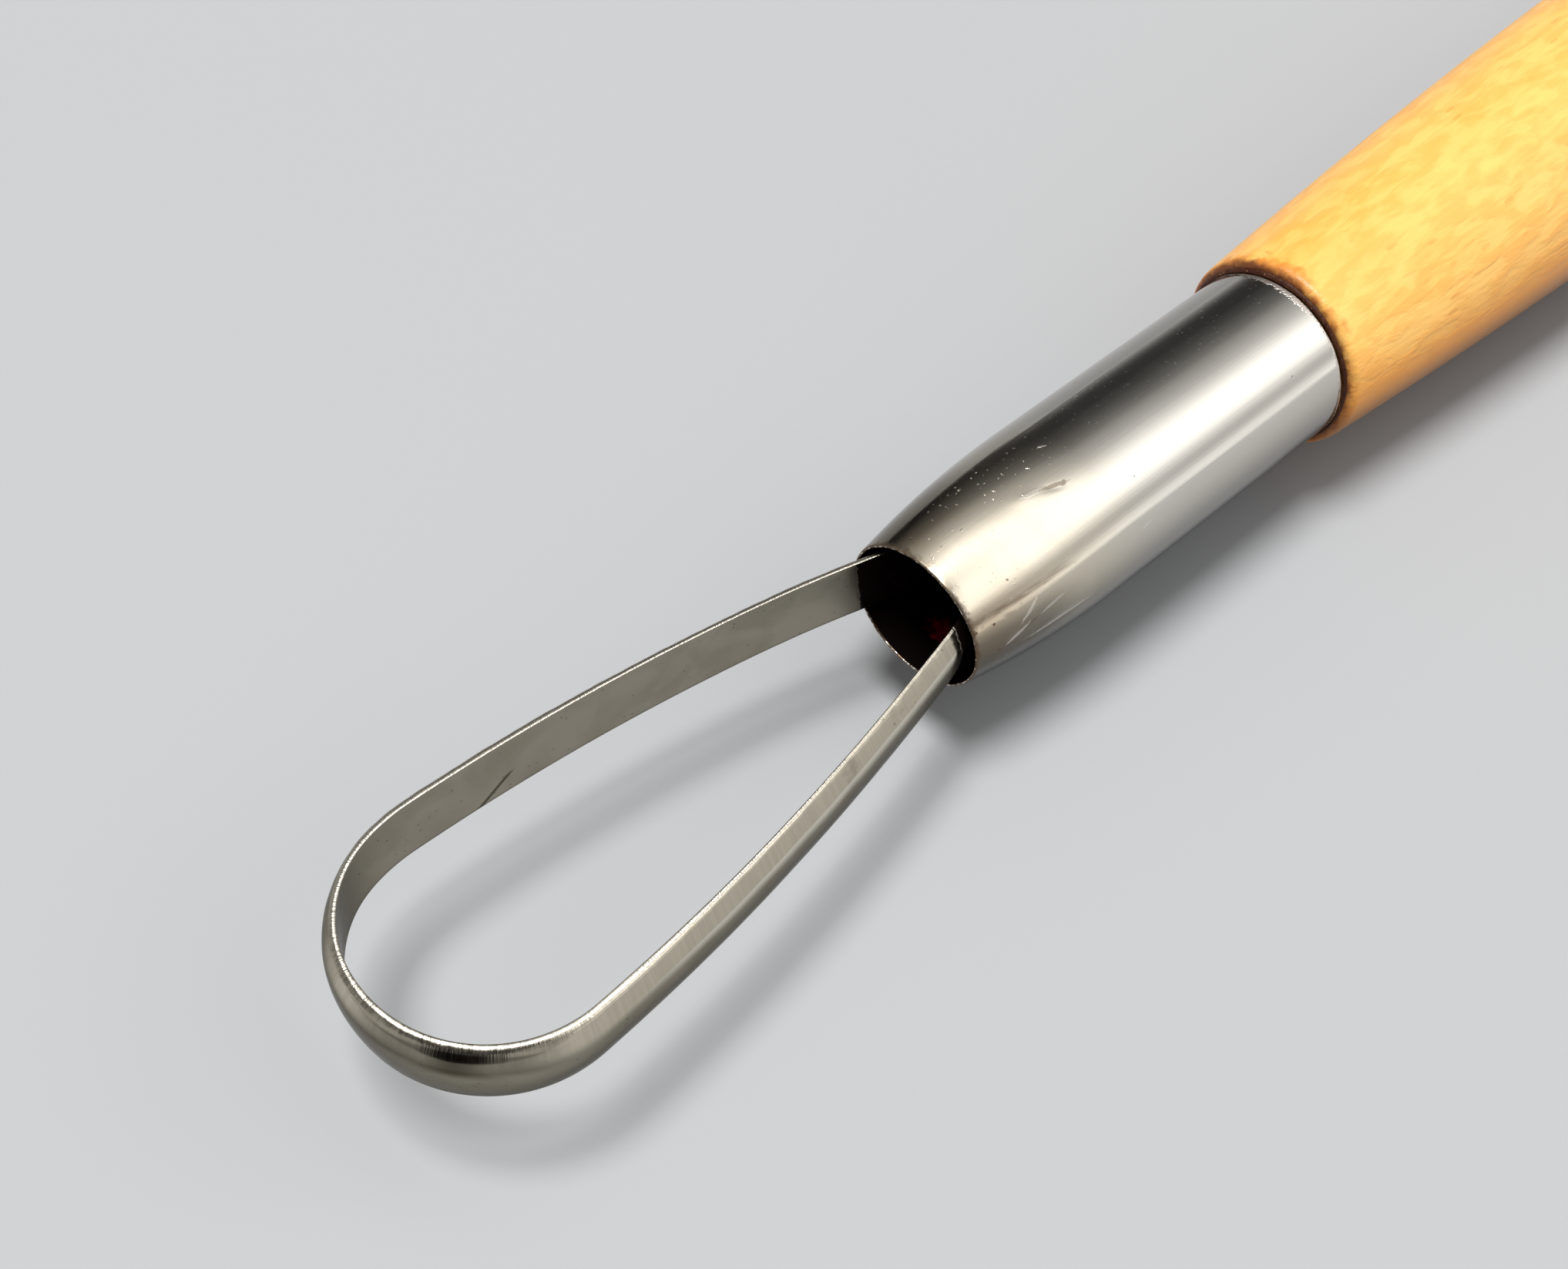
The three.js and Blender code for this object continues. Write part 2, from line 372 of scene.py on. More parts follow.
class SharedGroups:
    """Node groups that more than one finish uses."""

    def __init__(self) -> None:
        """Builds each group once."""
        self.line_tree = self.build_lines()
        self.speck_tree = self.build_specks()
        self.handling_tree = self.build_handling()

    def lines(self, sheet: NodeSheet, vector: Socket, width: float, length: float) -> Value:
        """Places fine lines of a width and length."""
        inputs = {"Vector": vector, "Width": width, "Length": length}
        return sheet.value("Group", inputs, node_tree=self.line_tree)

    def specks(self, sheet: NodeSheet, vector: Socket, spacing: float, radius: float, amount: float) -> Value:
        """Places scattered specks of a radius."""
        inputs = {"Vector": vector, "Spacing": spacing, "Radius": radius, "Amount": amount}
        return sheet.value("Group", inputs, node_tree=self.speck_tree)

    def handling(self, sheet: NodeSheet, vector: Socket, size: float) -> list[Value]:
        """Places handling marks: patches of a size, and rubs."""
        node = sheet.add("Group", {"Vector": vector, "Size": size}, node_tree=self.handling_tree)
        return [Value(sheet, output) for output in node.outputs]

    @staticmethod
    def start(name: str, inputs: dict[str, float | None],
              outputs: tuple[str, ...]) -> tuple[NodeSheet, dict[str, Value], dict[str, Socket]]:
        """Begins a group.

        Args:
            name: The group's name.
            inputs: Its inputs with their first values. None stands for a vector.
            outputs: The names of its outputs, all plain values.

        Returns:
            The sheet, its inputs and its outputs' sockets.
        """
        tree = bpy.data.node_groups.new(name, "ShaderNodeTree")
        for key, value in inputs.items():
            kind = "NodeSocketVector" if value is None else "NodeSocketFloat"
            socket = tree.interface.new_socket(key, in_out="INPUT", socket_type=kind)
            if value is not None:
                socket.default_value = value
        for key in outputs:
            tree.interface.new_socket(key, in_out="OUTPUT", socket_type="NodeSocketFloat")
        sheet = NodeSheet(tree)
        given = tree.nodes.new("NodeGroupInput").outputs
        taken = tree.nodes.new("NodeGroupOutput").inputs
        return sheet, {key: Value(sheet, given[key]) for key in inputs}, {key: taken[key] for key in outputs}

    def build_lines(self) -> bpy.types.NodeTree:
        """Fine lines of uneven strength along the vector's X: fibres, drawing lines or grinding marks.

        Noise stretched along X is raised and lowered by a second, coarser noise. Width is the width of a line
        and Length its length, both in the vector's unit.
        """
        inputs = {"Vector": None, "Width": 0.1, "Length": 5.0}
        sheet, given, taken = self.start("fine_lines", inputs, ("Lines",))
        x, y, z = sheet.split(given["Vector"])
        stretched = sheet.join(x / given["Length"], y / given["Width"], z / given["Width"])
        fine, coarse = sheet.noise(stretched, 1.0, 3.0), sheet.noise(stretched, 0.21, 1.0)
        sheet.feed(taken["Lines"], (0.65 * fine + 0.35 * coarse).step(0.3, 0.7))
        return sheet.tree

    def build_specks(self) -> bpy.types.NodeTree:
        """Scattered round specks: pits, pores or dust.

        Each cell of a Voronoi pattern with cells of size Spacing holds a speck of radius Radius, in a share
        Amount of the cells.
        """
        inputs = {"Vector": None, "Spacing": 1.0, "Radius": 0.1, "Amount": 0.3}
        sheet, given, taken = self.start("scattered_specks", inputs, ("Mask",))
        cells = sheet.add("TexVoronoi", {"Vector": given["Vector"], "Scale": 1.0 / given["Spacing"]})
        away = Value(sheet, cells.outputs["Distance"]) * given["Spacing"]
        inside = sheet.math("SUBTRACT", 1.0, away / given["Radius"], clamp=True)
        draw = sheet.value("SeparateColor", {0: cells.outputs["Color"]})
        chosen = sheet.math("LESS_THAN", draw, given["Amount"])
        sheet.feed(taken["Mask"], inside.step(0.0, 0.5) * chosen)
        return sheet.tree

    def build_handling(self) -> bpy.types.NodeTree:
        """Cloudy patches left by handling, Size across, and thin stray rubs within them."""
        sheet, given, taken = self.start("handling_marks", {"Vector": None, "Size": 3.0}, ("Patches", "Rubs"))
        scale = 1.0 / given["Size"]
        cloud = sheet.noise(given["Vector"], scale, 4.0, 0.6)
        rub = sheet.noise(given["Vector"], 6.0 * scale, 2.0, 2.5)
        sheet.feed(taken["Patches"], cloud.step(0.35, 0.7))
        sheet.feed(taken["Rubs"], abs(rub - 0.5).step(0.0, 0.02, 1.0, 0.0))
        return sheet.tree


@dataclass(frozen=True)
class Finish(ABC):
    """A procedural material for one of the record's slots.

    Attributes:
        slot: The record's slot.
        groups: The groups that it may use.
    """

    slot: ClassVar[Slot]
    groups: SharedGroups

    @abstractmethod
    def paint(self, sheet: NodeSheet, shader: Node) -> None:
        """Adds the nodes of the finish and sets the shader's own values."""

    def build(self) -> bpy.types.Material:
        """Makes the material."""
        material = bpy.data.materials.new(self.slot.value)
        material.use_nodes = True
        self.paint(NodeSheet(material.node_tree), material.node_tree.nodes["Principled BSDF"])
        return material


@dataclass(frozen=True)
class LacqueredWood(Finish):
    """Pale close-grained hardwood under a warm satin lacquer, darkened by glue at both shoulders.

    Attributes:
        pale: Colour of the light patches.
        deep: Colour of the darker patches.
        under: Colour low on both sides, deeper than the rest.
        fleck: Colour of the short flecks and of the halo round the glue.
        stain: Colour of the glue stain.
        axis_height: Height of the handle's axis, in mm as all sizes.
        shoulder: Distance of the shoulders from the middle of the tool.
        band: Width of the dark stain low on the -Y side and high on the +Y side.
        spread: How far the halo reaches on those two sides.
    """

    slot: ClassVar[Slot] = Slot.WOOD
    pale: Colour = (0.93, 0.55, 0.145)
    deep: Colour = (0.87, 0.40, 0.075)
    under: Colour = (0.86, 0.30, 0.022)
    fleck: Colour = (0.62, 0.20, 0.025)
    stain: Colour = (0.13, 0.032, 0.006)
    axis_height: float = 6.25
    shoulder: float = 53.0
    band: Span = (-0.02, 0.14)
    spread: Span = (1.3, 2.6)

    def paint(self, sheet: NodeSheet, shader: Node) -> None:
        """Mixes soft blotches, fibres, flecks, a deeper colour low on both sides, painted shade underneath
        and the stain at the shoulders.
        """
        place = sheet.place_mm()
        x, y, z = sheet.split(place)
        angle = sheet.degrees(y, z - self.axis_height)
        slow = sheet.noise(sheet.scaled(place, (0.07, 0.3, 0.3)), 1.0, 2.0, 0.4).step(0.35, 0.65)
        blotch = sheet.noise(sheet.scaled(place, (0.55, 1.5, 1.5)), 1.0, 4.0, 0.3).step(0.36, 0.64)
        fibres = self.groups.lines(sheet, place, width=0.16, length=3.0)
        long_place = sheet.scaled(place, (0.3, 1.0, 1.0))
        flecks = self.groups.specks(sheet, long_place, spacing=0.7, radius=0.13, amount=0.35)
        patches, _ = self.groups.handling(sheet, place, size=9.0)
        halo, dark_band = self.glue_stain(sheet, place, x, angle)
        tone = sheet.math("ADD", 0.55 * blotch + 0.27 * slow, 0.18 * fibres, clamp=True)
        colour = sheet.mix(0.28 * flecks, sheet.mix(tone, self.pale, self.deep), self.fleck)
        # A deeper colour low on both sides of the handle.
        colour = sheet.mix(abs(angle).step(56.0, 94.0, 0.0, 0.85), colour, self.under)
        # Painted shade: the underside is darkened, down to 0.4 of its colour at the bottom.
        colour = sheet.vector_sum("SCALE", {0: colour, "Scale": abs(angle).step(80.0, 106.0, 1.0, 0.4)})
        colour = sheet.mix(dark_band, sheet.mix(halo, colour, self.fleck), self.stain)
        sheet.dress(shader, {
            "Base Color": colour,
            "Roughness": 0.38 + 0.12 * patches + 0.2 * dark_band,
            "Normal": sheet.bump(0.5 * fibres - 0.4 * flecks + 1.5 * blotch, 0.00003, 0.6),
            "Specular IOR Level": 0.35,
            "Coat Weight": 0.1,
            "Coat Roughness": 0.3,
        })

    def glue_stain(self, sheet: NodeSheet, place: Socket, x: Value, angle: Value) -> tuple[Value, Value]:
        """The glue that has soaked into the end of the wood, which is broadest on the upper +Y side.

        Args:
            sheet: The material's sheet.
            place: The place in mm.
            x: Its X.
            angle: The angle round the handle's axis in degrees.

        Returns:
            Strengths of the pale brown halo and of the dark band.
        """
        ragged = 0.3 * (sheet.noise(place, 2.6, 3.0) - 0.5)
        past_band = self.shoulder - abs(x) - (angle.step(-35.0, 35.0, *self.band) + ragged)
        spread = (sheet.noise(place, 1.1, 3.0, 0.5) - 0.33) * angle.step(-60.0, 30.0, *self.spread)
        return (past_band - spread).step(-0.45, 0.25, 0.8, 0.0), past_band.step(-0.08, 0.22, 0.95, 0.0)


@dataclass(frozen=True)
class Scar:
    """An oval mark on a ferrule.

    Attributes:
        x: Distance of its middle from the mouth, in mm.
        angle: Place round the ferrule in degrees, from straight up towards +Y.
        length: Half-length in mm.
        width: Half-width in mm.
        turn: Angle in degrees between its length and the ferrule's.
        strength: Above zero for a bright mark, a painted highlight, and below zero for a dark one, painted
            shade or a dirty pit.
    """

    x: float
    angle: float
    length: float
    width: float
    turn: float
    strength: float

    def oval(self, ahead: Value, across: Value) -> Value:
        """The squared distance from its middle, counted in half-lengths and half-widths."""
        cosine, sine = math.cos(math.radians(self.turn)), math.sin(math.radians(self.turn))
        far = ahead * (cosine / self.length) + across * (sine / self.length)
        wide = across * (cosine / self.width) - ahead * (sine / self.width)
        return far**2 + wide**2


@dataclass(frozen=True)
class DrawnNickel(Finish):
    """Bright nickel tube with faint drawing lines, pin-prick pits, a stained mouth, and painted shade and
    highlights.

    Attributes:
        metal: Colour of the clean metal.
        warm: Colour of the metal near the mouth, which has yellowed.
        brown: Colour of the brown film towards the mouth.
        stain: Colour of the deposit at the mouth and in the pits, and of the painted shade in creases.
        lip: Colour of the worn back edge and rim, and of the painted highlights of the bright scars.
        film: Colour of the adhesive on the bore, nearly black, which also stands as painted shade inside the
            mouth.
        red: Colour of a thicker drop of it.
        drop: Place of that drop: its distance from the mouth, its Y and its Z.
        axis_height: Height of the ferrules' axis, in mm as all sizes.
        mouth: Distance of the mouths from the middle of the tool.
        back: Distance of the back edges.
        radius: Radius of the ferrules.
        brown_line: Angle of a brown line that runs back from the mouth, in degrees.
        scars: Marks on the front ferrule: painted highlights and shade on its creases and dents, and dirty
            pits.
    """

    slot: ClassVar[Slot] = Slot.NICKEL
    metal: Colour = (0.70, 0.667, 0.605)
    warm: Colour = (0.72, 0.655, 0.535)
    brown: Colour = (0.50, 0.41, 0.30)
    stain: Colour = (0.13, 0.085, 0.05)
    lip: Colour = (0.78, 0.72, 0.66)
    film: Colour = (0.004, 0.0025, 0.002)
    red: Colour = (0.5, 0.006, 0.006)
    drop: Place = (2.6, 0.2, 3.5)
    axis_height: float = 6.25
    mouth: float = 75.0
    back: float = 53.2
    radius: float = 4.0
    brown_line: float = -51.5
    scars: tuple[Scar, ...] = (
        Scar(6.2, -12.0, 0.8, 0.11, -16, -0.7), Scar(6.6, -14.0, 0.2, 0.13, 10, -0.7),
        Scar(5.3, -8.0, 0.7, 0.14, -14, 0.22), Scar(2.65, -66.5, 0.65, 0.1, 40, 0.5),
        Scar(2.0, -78.0, 0.8, 0.1, 25, 0.45), Scar(3.7, -71.0, 0.9, 0.09, 12, 0.4),
        Scar(4.2, -86.0, 2.0, 0.09, 2, 0.4), Scar(2.9, -74.0, 0.7, 0.07, 22, -0.4),
        Scar(3.3, -83.0, 0.6, 0.07, 15, -0.4), Scar(1.0, -61.0, 0.09, 0.08, 0, -0.9),
        Scar(1.1, -83.0, 0.09, 0.08, 0, -0.9), Scar(2.6, -89.0, 0.12, 0.1, 0, -0.9),
        Scar(0.15, -60.0, 0.15, 0.1, 0, -0.8), Scar(9.2, -64.0, 0.3, 0.04, 12, 0.5),
        Scar(7.3, 12.0, 0.25, 0.05, -30, 0.6),
    )

    def paint(self, sheet: NodeSheet, shader: Node) -> None:
        """Mixes drawing lines, films, painted shade, painted highlights, handling marks, pits and the deposit
        near the mouth.

        The ferrule's map gives the depth below the outside, by which the bore is told from the outside.
        """
        place = sheet.place_mm()
        x, y, z = sheet.split(place)
        depth = sheet.strip_map()[0]
        angle = sheet.degrees(y, z - self.axis_height)
        from_mouth = self.mouth - abs(x)
        lines = self.groups.lines(sheet, place, width=0.09, length=9.0)
        patches, rubs = self.groups.handling(sheet, place, size=4.0)
        pits = self.groups.specks(sheet, place, spacing=0.8, radius=0.07, amount=0.3)
        grime = (from_mouth - 0.55 * sheet.noise(place, 4.5, 4.0)).step(-0.26, 0.02, 1.0, 0.0)
        dirt = sheet.largest(0.6 * pits, 0.85 * grime)
        rim = from_mouth.step(0.04, 0.09, 1.0, 0.0) * depth.step(0.02, 0.05)
        lip = self.back_lip(sheet, place, x, angle)
        bright_scars, dark_scars = self.scarred(sheet, place, x, from_mouth, angle)
        bore = depth.step(0.04, 0.09) * from_mouth.step(0.03, 0.09)
        colour = sheet.mix(dirt, self.filmed_and_shaded(sheet, place, from_mouth, angle, patches, lines), self.stain)
        # Bright scars are painted highlights on creases and a dent's hump; dark ones are painted shade in
        # creases, and a few dirty pits.
        colour = sheet.mix(dark_scars, sheet.mix(bright_scars, colour, self.lip), self.stain)
        worn = sheet.mix(sheet.noise(place, 6.0, 3.0).step(0.5, 0.62), self.stain, self.lip)
        colour = sheet.mix(lip, sheet.mix(rim, colour, worn), self.lip)
        polish = 0.09 + 0.035 * patches + 0.03 * lines + 0.04 * rubs
        even = sheet.bump(0.12 * lines - pits, 0.00001, 0.6)
        rough_edge = sheet.noise(place, 14.0, 2.0) * sheet.largest(lip, bright_scars)
        relief = self.fine_pits(sheet, place, from_mouth, angle) + rough_edge
        sheet.dress(shader, {
            # The bore's adhesive is painted nearly black, which stands for the shade inside the mouth too.
            "Base Color": sheet.mix(bore, colour, self.adhesive(sheet, place)),
            "Roughness": polish + 0.3 * sheet.largest(dirt, lip, bright_scars, dark_scars),
            "Metallic": 1.0 - bore,
            "Normal": sheet.bump(relief, 0.00002, 1.0, even),
            "Specular IOR Level": 0.1,
            "Specular Tint": sheet.mix(bore, (1, 1, 1), (0.1, 0.1, 0.1)),
        })

    def fine_pits(self, sheet: NodeSheet, place: Socket, from_mouth: Value, angle: Value) -> Value:
        """Fine pits past the top of the ferrule and low on its -Y side, most of them near the mouth."""
        warp = sheet.add("TexNoise", {"Vector": place, "Scale": 5.0, "Detail": 2.0}).outputs["Color"]
        warp = sheet.vector_sum("SCALE", {0: warp, "Scale": 0.35})
        bent = sheet.vector_sum("ADD", {0: place, 1: warp})
        pits = self.groups.specks(sheet, bent, spacing=0.26, radius=0.05, amount=0.6)
        round_it = sheet.largest(angle.step(-10.0, 6.0, 0.12, 1.0), angle.step(-90.0, -60.0, 0.8, 0.0))
        near = sheet.math("ADD", from_mouth.step(1.0, 8.0, 1.0, 0.0), 0.12, clamp=True)
        return pits * (near * round_it)

    def back_lip(self, sheet: NodeSheet, place: Socket, x: Value, angle: Value) -> Value:
        """Strength of the ragged worn edge at the back, which is chipped furthest near the top."""
        chipped = sheet.blend(angle.between(-20.0, 32.0, 8.0), -0.25, -0.6)
        edge = abs(x) - self.back + sheet.noise(place, 7.0, 3.0) * chipped
        return edge.step(-0.05, 0.06, 0.9, 0.0)

    def scarred(self, sheet: NodeSheet, place: Socket, x: Value, from_mouth: Value,
                angle: Value) -> tuple[Value, Value]:
        """The scars of the front ferrule, each an oval with a ragged edge: painted highlights, painted shade
        and pits.

        Args:
            sheet: The material's sheet.
            place: The place in mm.
            x: Its X, which is below zero on the front end.
            from_mouth: Distance from the mouth in mm.
            angle: The angle round the axis in degrees.

        Returns:
            Strengths of the bright and of the dark scars.
        """
        ragged = 0.9 * sheet.noise(place, 8.0, 3.0)
        front = x.step(-1.0, 1.0, 1.0, 0.0)
        bright, dark = [], []
        for scar in self.scars:
            oval = scar.oval(from_mouth - scar.x, (angle - scar.angle) * (math.radians(1) * self.radius))
            mask = (oval + ragged).step(0.7, 1.5, abs(scar.strength), 0.0)
            (bright if scar.strength > 0 else dark).append(mask)
        return sheet.largest(*bright) * front, sheet.largest(*dark) * front

    def filmed_and_shaded(self, sheet: NodeSheet, place: Socket, from_mouth: Value, angle: Value, cloud: Value,
                  lines: Value) -> Socket:
        """The metal's colour with its films and painted shade.

        Painted shade darkens the sides and the underside, most of all near the mouth. A brown film lies on
        both sides of the mouth, and a brown line runs back from it.

        Args:
            sheet: The material's sheet.
            place: The place in mm.
            from_mouth: Distance from the mouth in mm.
            angle: The angle round the axis in degrees, from straight up towards +Y.
            cloud: Strength of cloudy patches.
            lines: Strength of the drawing lines.

        Returns:
            The colour.
        """
        beside = sheet.largest(angle.step(-52.0, -40.0, 1.0, 0.0), angle.step(-2.0, 22.0))
        filmed = beside * from_mouth.step(0.6, 4.2, 0.85, 0.0)
        clouded = cloud * from_mouth.step(2.0, 9.0, 0.3, 0.0)
        off_line = abs(angle - self.brown_line + 5.0 * sheet.noise(place, 0.5, 1.0))
        line = off_line.step(0.5, 3.5, 0.6, 0.0) * from_mouth.step(3.5, 6.5, 1.0, 0.0)
        line = line * sheet.math("ADD", 0.35, lines, clamp=True)
        colour = sheet.mix(from_mouth.step(4.0, 11.0, 1.0, 0.0), self.metal, self.warm)
        colour = sheet.mix(clouded, sheet.mix(filmed, colour, self.brown), self.brown)
        colour = sheet.mix(line, colour, self.stain)
        # Painted shade: the sides and the underside are darker than the top, and darker still near the mouth.
        dimmer = angle.step(26.0, 36.0, 1.0, 0.52) * angle.step(-104.0, -56.0, 0.12, 1.0)
        dimmer_near_mouth = angle.step(30.0, 40.0, 1.0, 0.55) * angle.step(-72.0, -57.0, 0.52, 1.0)
        at_mouth = sheet.blend(from_mouth.step(3.0, 6.0, 1.0, 0.0), 1.0, dimmer_near_mouth)
        return sheet.vector_sum("SCALE", {0: colour, "Scale": dimmer * at_mouth})

    def adhesive(self, sheet: NodeSheet, place: Socket) -> Socket:
        """Colour of the adhesive on the bore, nearly black as painted shade inside the mouth, with one
        thicker red drop low in each mouth.
        """
        x, y, z = sheet.split(place)
        ends = {0: sheet.join(abs(x), y, z), 1: (self.mouth - self.drop[0], *self.drop[1:])}
        away = sheet.value("VectorMath", ends, "Value", operation="DISTANCE")
        ragged = away + 0.9 * sheet.noise(place, 3.0, 3.0)
        return sheet.mix(ragged.step(0.9, 1.4, 1.0, 0.0), self.film, self.red)


@dataclass(frozen=True)
class StripArea:
    """A stretch of some sides of the strip, with soft ends and edges.

    Attributes:
        along: Lengths from the middle of the nose where it starts and stops, and its ends' softness, in mm.
        side: Numbers of the sides where it starts and stops, and its edges' softness.
        strength: Its strength.
    """

    along: Place
    side: Place
    strength: float = 1.0

    def mask(self, along: Value, side: Value) -> Value:
        """The strength at a place of the strip's map."""
        return along.between(*self.along) * side.between(*self.side) * self.strength


@dataclass(frozen=True)
class GroundSteel(Finish):
    """Spring steel strip: mill finish inside and below, ground across the upper edge and the upper bevel.

    A dark reflection on the nose, a highlight along the crest and the shade inside the ferrules are painted.

    Attributes:
        metal: Colour of the ground metal.
        bright: Colour of fresh grinding marks and of the painted highlight along the crest.
        mill: Colour of the metal as rolled.
        dimmer: Colour of its cloudy patches and of the darker patch.
        mark: Colour of scratches and specks, and of the painted dark reflection on the nose.
        film: Colour of the adhesive on the tails, nearly black, which also stands as painted shade inside the
            ferrule.
        axis_height: Height of the strip's middle, in mm as all sizes.
        mouth: Distance of the ferrules' mouths from the middle of the tool.
        comb: Where the marks of the wheel stand out like the teeth of a comb.
        darker_patch: Where the bevels and foot are darker, just past the nose.
        dark_reflection: Where a dark reflection is painted on the bevels of the nose.
        dark_reflection_fringe: The paler edge round that painted reflection.
    """

    slot: ClassVar[Slot] = Slot.STEEL
    metal: Colour = (0.56, 0.50, 0.39)
    bright: Colour = (0.80, 0.75, 0.66)
    mill: Colour = (0.38, 0.35, 0.285)
    dimmer: Colour = (0.30, 0.275, 0.215)
    mark: Colour = (0.11, 0.095, 0.07)
    film: Colour = (0.005, 0.003, 0.0025)
    axis_height: float = 6.25
    mouth: float = 75.0
    comb: StripArea = StripArea((-6.0, 3.0, 2.0), (1.0, 2.2, 0.1))
    darker_patch: StripArea = StripArea((2.0, 6.5, 1.0), (2.0, 9.0, 0.05), 0.7)
    dark_reflection: StripArea = StripArea((-4.6, -2.3, 1.2), (2.4, 3.18, 0.12))
    dark_reflection_fringe: StripArea = StripArea((-6.2, -0.3, 1.1), (2.56, 3.12, 0.13), 0.65)

    def paint(self, sheet: NodeSheet, shader: Node) -> None:
        """Mixes the two kinds of surface by the side of the strip, and adds painted light and shade.

        The strip's map gives the length along it from the middle of the nose, and the number of the side
        plus the share of the way across it: 0 for the inner face, 1 for the land, 2 and 3 for the upper and
        lower bevels and 4 for the foot.
        """
        place = sheet.place_mm()
        x, y, z = sheet.split(place)
        along, side, _ = sheet.strip_map()
        up = z - self.axis_height
        crosswise = sheet.join(up, along, 0.0)
        ground, land = side.between(1.0, 3.0, 0.05), side.between(1.0, 2.0, 0.05)
        inside = side.step(0.95, 1.0, 1.0, 0.0)
        tip = abs(along).step(3.0, 12.0, 1.0, 0.45)
        fine = self.groups.lines(sheet, crosswise, width=0.05, length=2.0)
        broad = self.groups.lines(sheet, crosswise, width=0.2, length=3.0)
        teeth = self.groups.lines(sheet, crosswise, width=0.12, length=6.0) * self.comb.mask(along, side)
        rolled = self.groups.lines(sheet, sheet.join(along, up, side), width=0.12, length=7.0)
        cloud, _ = self.groups.handling(sheet, place, size=2.2)
        specks = self.groups.specks(sheet, place, spacing=0.36, radius=0.06, amount=0.45)
        scratched = self.scratch(along, up) * inside
        low_edge = sheet.largest(side.step(0.03, 0.09, 0.7, 0.0), side.step(4.9, 4.97, 0.0, 0.7))
        milled = sheet.mix(0.6 * cloud, self.mill, self.dimmer)
        milled = sheet.mix(sheet.largest(low_edge, scratched, 0.65 * specks), milled, self.mark)
        filed = sheet.mix(fine * (0.45 * tip), self.metal, self.bright)
        filed = sheet.mix(0.35 * broad, filed, self.mill)
        filed = sheet.mix(self.scuffs(sheet, along, cloud, specks), filed, self.mark)
        # Painted highlight along the crest, strongest away from the nose.
        crest_highlight = side.between(2.94, 3.04, 0.03) * abs(along).step(8.0, 14.0, 0.0, 0.8)
        filed = sheet.mix(sheet.largest(crest_highlight, 0.35 * land), filed, self.bright)
        filed = sheet.mix(0.75 * teeth, filed, self.mark)
        # Darker on the bevels and foot just past the nose.
        filed = sheet.mix(self.darker_patch.mask(along, side), filed, self.dimmer)
        # Painted dark reflection on the bevels of the nose, with a paler fringe round it.
        dark_band = sheet.largest(self.dark_reflection.mask(along, side), self.dark_reflection_fringe.mask(along, side))
        colour = sheet.mix(dark_band, sheet.mix(ground, milled, filed), self.mark)
        # Painted shade with the adhesive: the strip inside a ferrule is nearly black.
        film = self.adhesive(sheet, place, x, y, 0.95 * land - inside * (0.35 + 0.6 * side))
        rough_ground = sheet.blend(land, 0.13, 0.22) + 0.06 * broad
        grinding = fine * sheet.blend(ground, 0.12, 0.5 * tip + 1.4 * land) + 1.5 * teeth
        relief = grinding + rolled * sheet.blend(ground, 0.2, 0.0) - 1.5 * scratched
        sheet.dress(shader, {
            "Base Color": sheet.mix(film, colour, self.film),
            "Roughness": sheet.blend(ground, 0.19 + 0.1 * cloud, rough_ground),
            "Metallic": 1.0 - film,
            "Normal": sheet.bump(relief, 0.000006, 1.0),
            "Specular IOR Level": 0.1,
            "Specular Tint": (0.4, 0.4, 0.4),
        })

    def scratch(self, along: Value, up: Value) -> Value:
        """A single thin scratch on the inner face: a short stretch of a sloping line from the lower edge."""
        start, low, high, slope, half_width = 11.2, -1.6, -0.3, 0.8, 0.12
        line = start + (up - low) / slope
        square = abs(along - line) * (slope / math.hypot(1, slope))
        return square.step(half_width * 0.4, half_width, 0.9, 0.0) * up.step(high - 0.25, high, 1.0, 0.0)

    def scuffs(self, sheet: NodeSheet, along: Value, cloud: Value, specks: Value) -> Value:
        """Darker patches and pits where each leg nears its ferrule."""
        pitted = sheet.largest(0.3 * cloud.step(0.55, 0.9), 0.6 * specks)
        return abs(along).step(17.0, 23.0) * pitted

    def adhesive(self, sheet: NodeSheet, place: Socket, x: Value, y: Value, start: Value) -> Value:
        """The adhesive on the strip inside a ferrule, painted nearly black as the shade there too, which
        starts at a depth by side on the +Y leg.
        """
        bare = sheet.blend(y.step(-0.5, 0.5), -0.25, start)
        ragged = 0.25 * (sheet.noise(place, 5.0, 3.0) - 0.5)
        return (self.mouth - abs(x) - bare + ragged).step(-0.04, 0.04)


@dataclass(frozen=True)
class RedResin(Finish):
    """Set adhesive, dark red and glossy, with cloudy depth.

    Attributes:
        clear: Colour where it is thin.
        dark: Colour where it is thick.
    """

    slot: ClassVar[Slot] = Slot.RESIN
    clear: Colour = (0.075, 0.004, 0.003)
    dark: Colour = (0.010, 0.003, 0.003)

    def paint(self, sheet: NodeSheet, shader: Node) -> None:
        """Mixes thin and thick places by slow noise, and adds small bubbles."""
        place = sheet.place_mm()
        patches, _ = self.groups.handling(sheet, place, size=1.6)
        bubbles = self.groups.specks(sheet, place, spacing=0.6, radius=0.16, amount=0.3)
        sheet.dress(shader, {
            "Base Color": sheet.mix(patches, self.clear, self.dark),
            "Roughness": 0.12 + 0.12 * bubbles,
            "Normal": sheet.bump(bubbles, 0.00005, 0.6),
        })


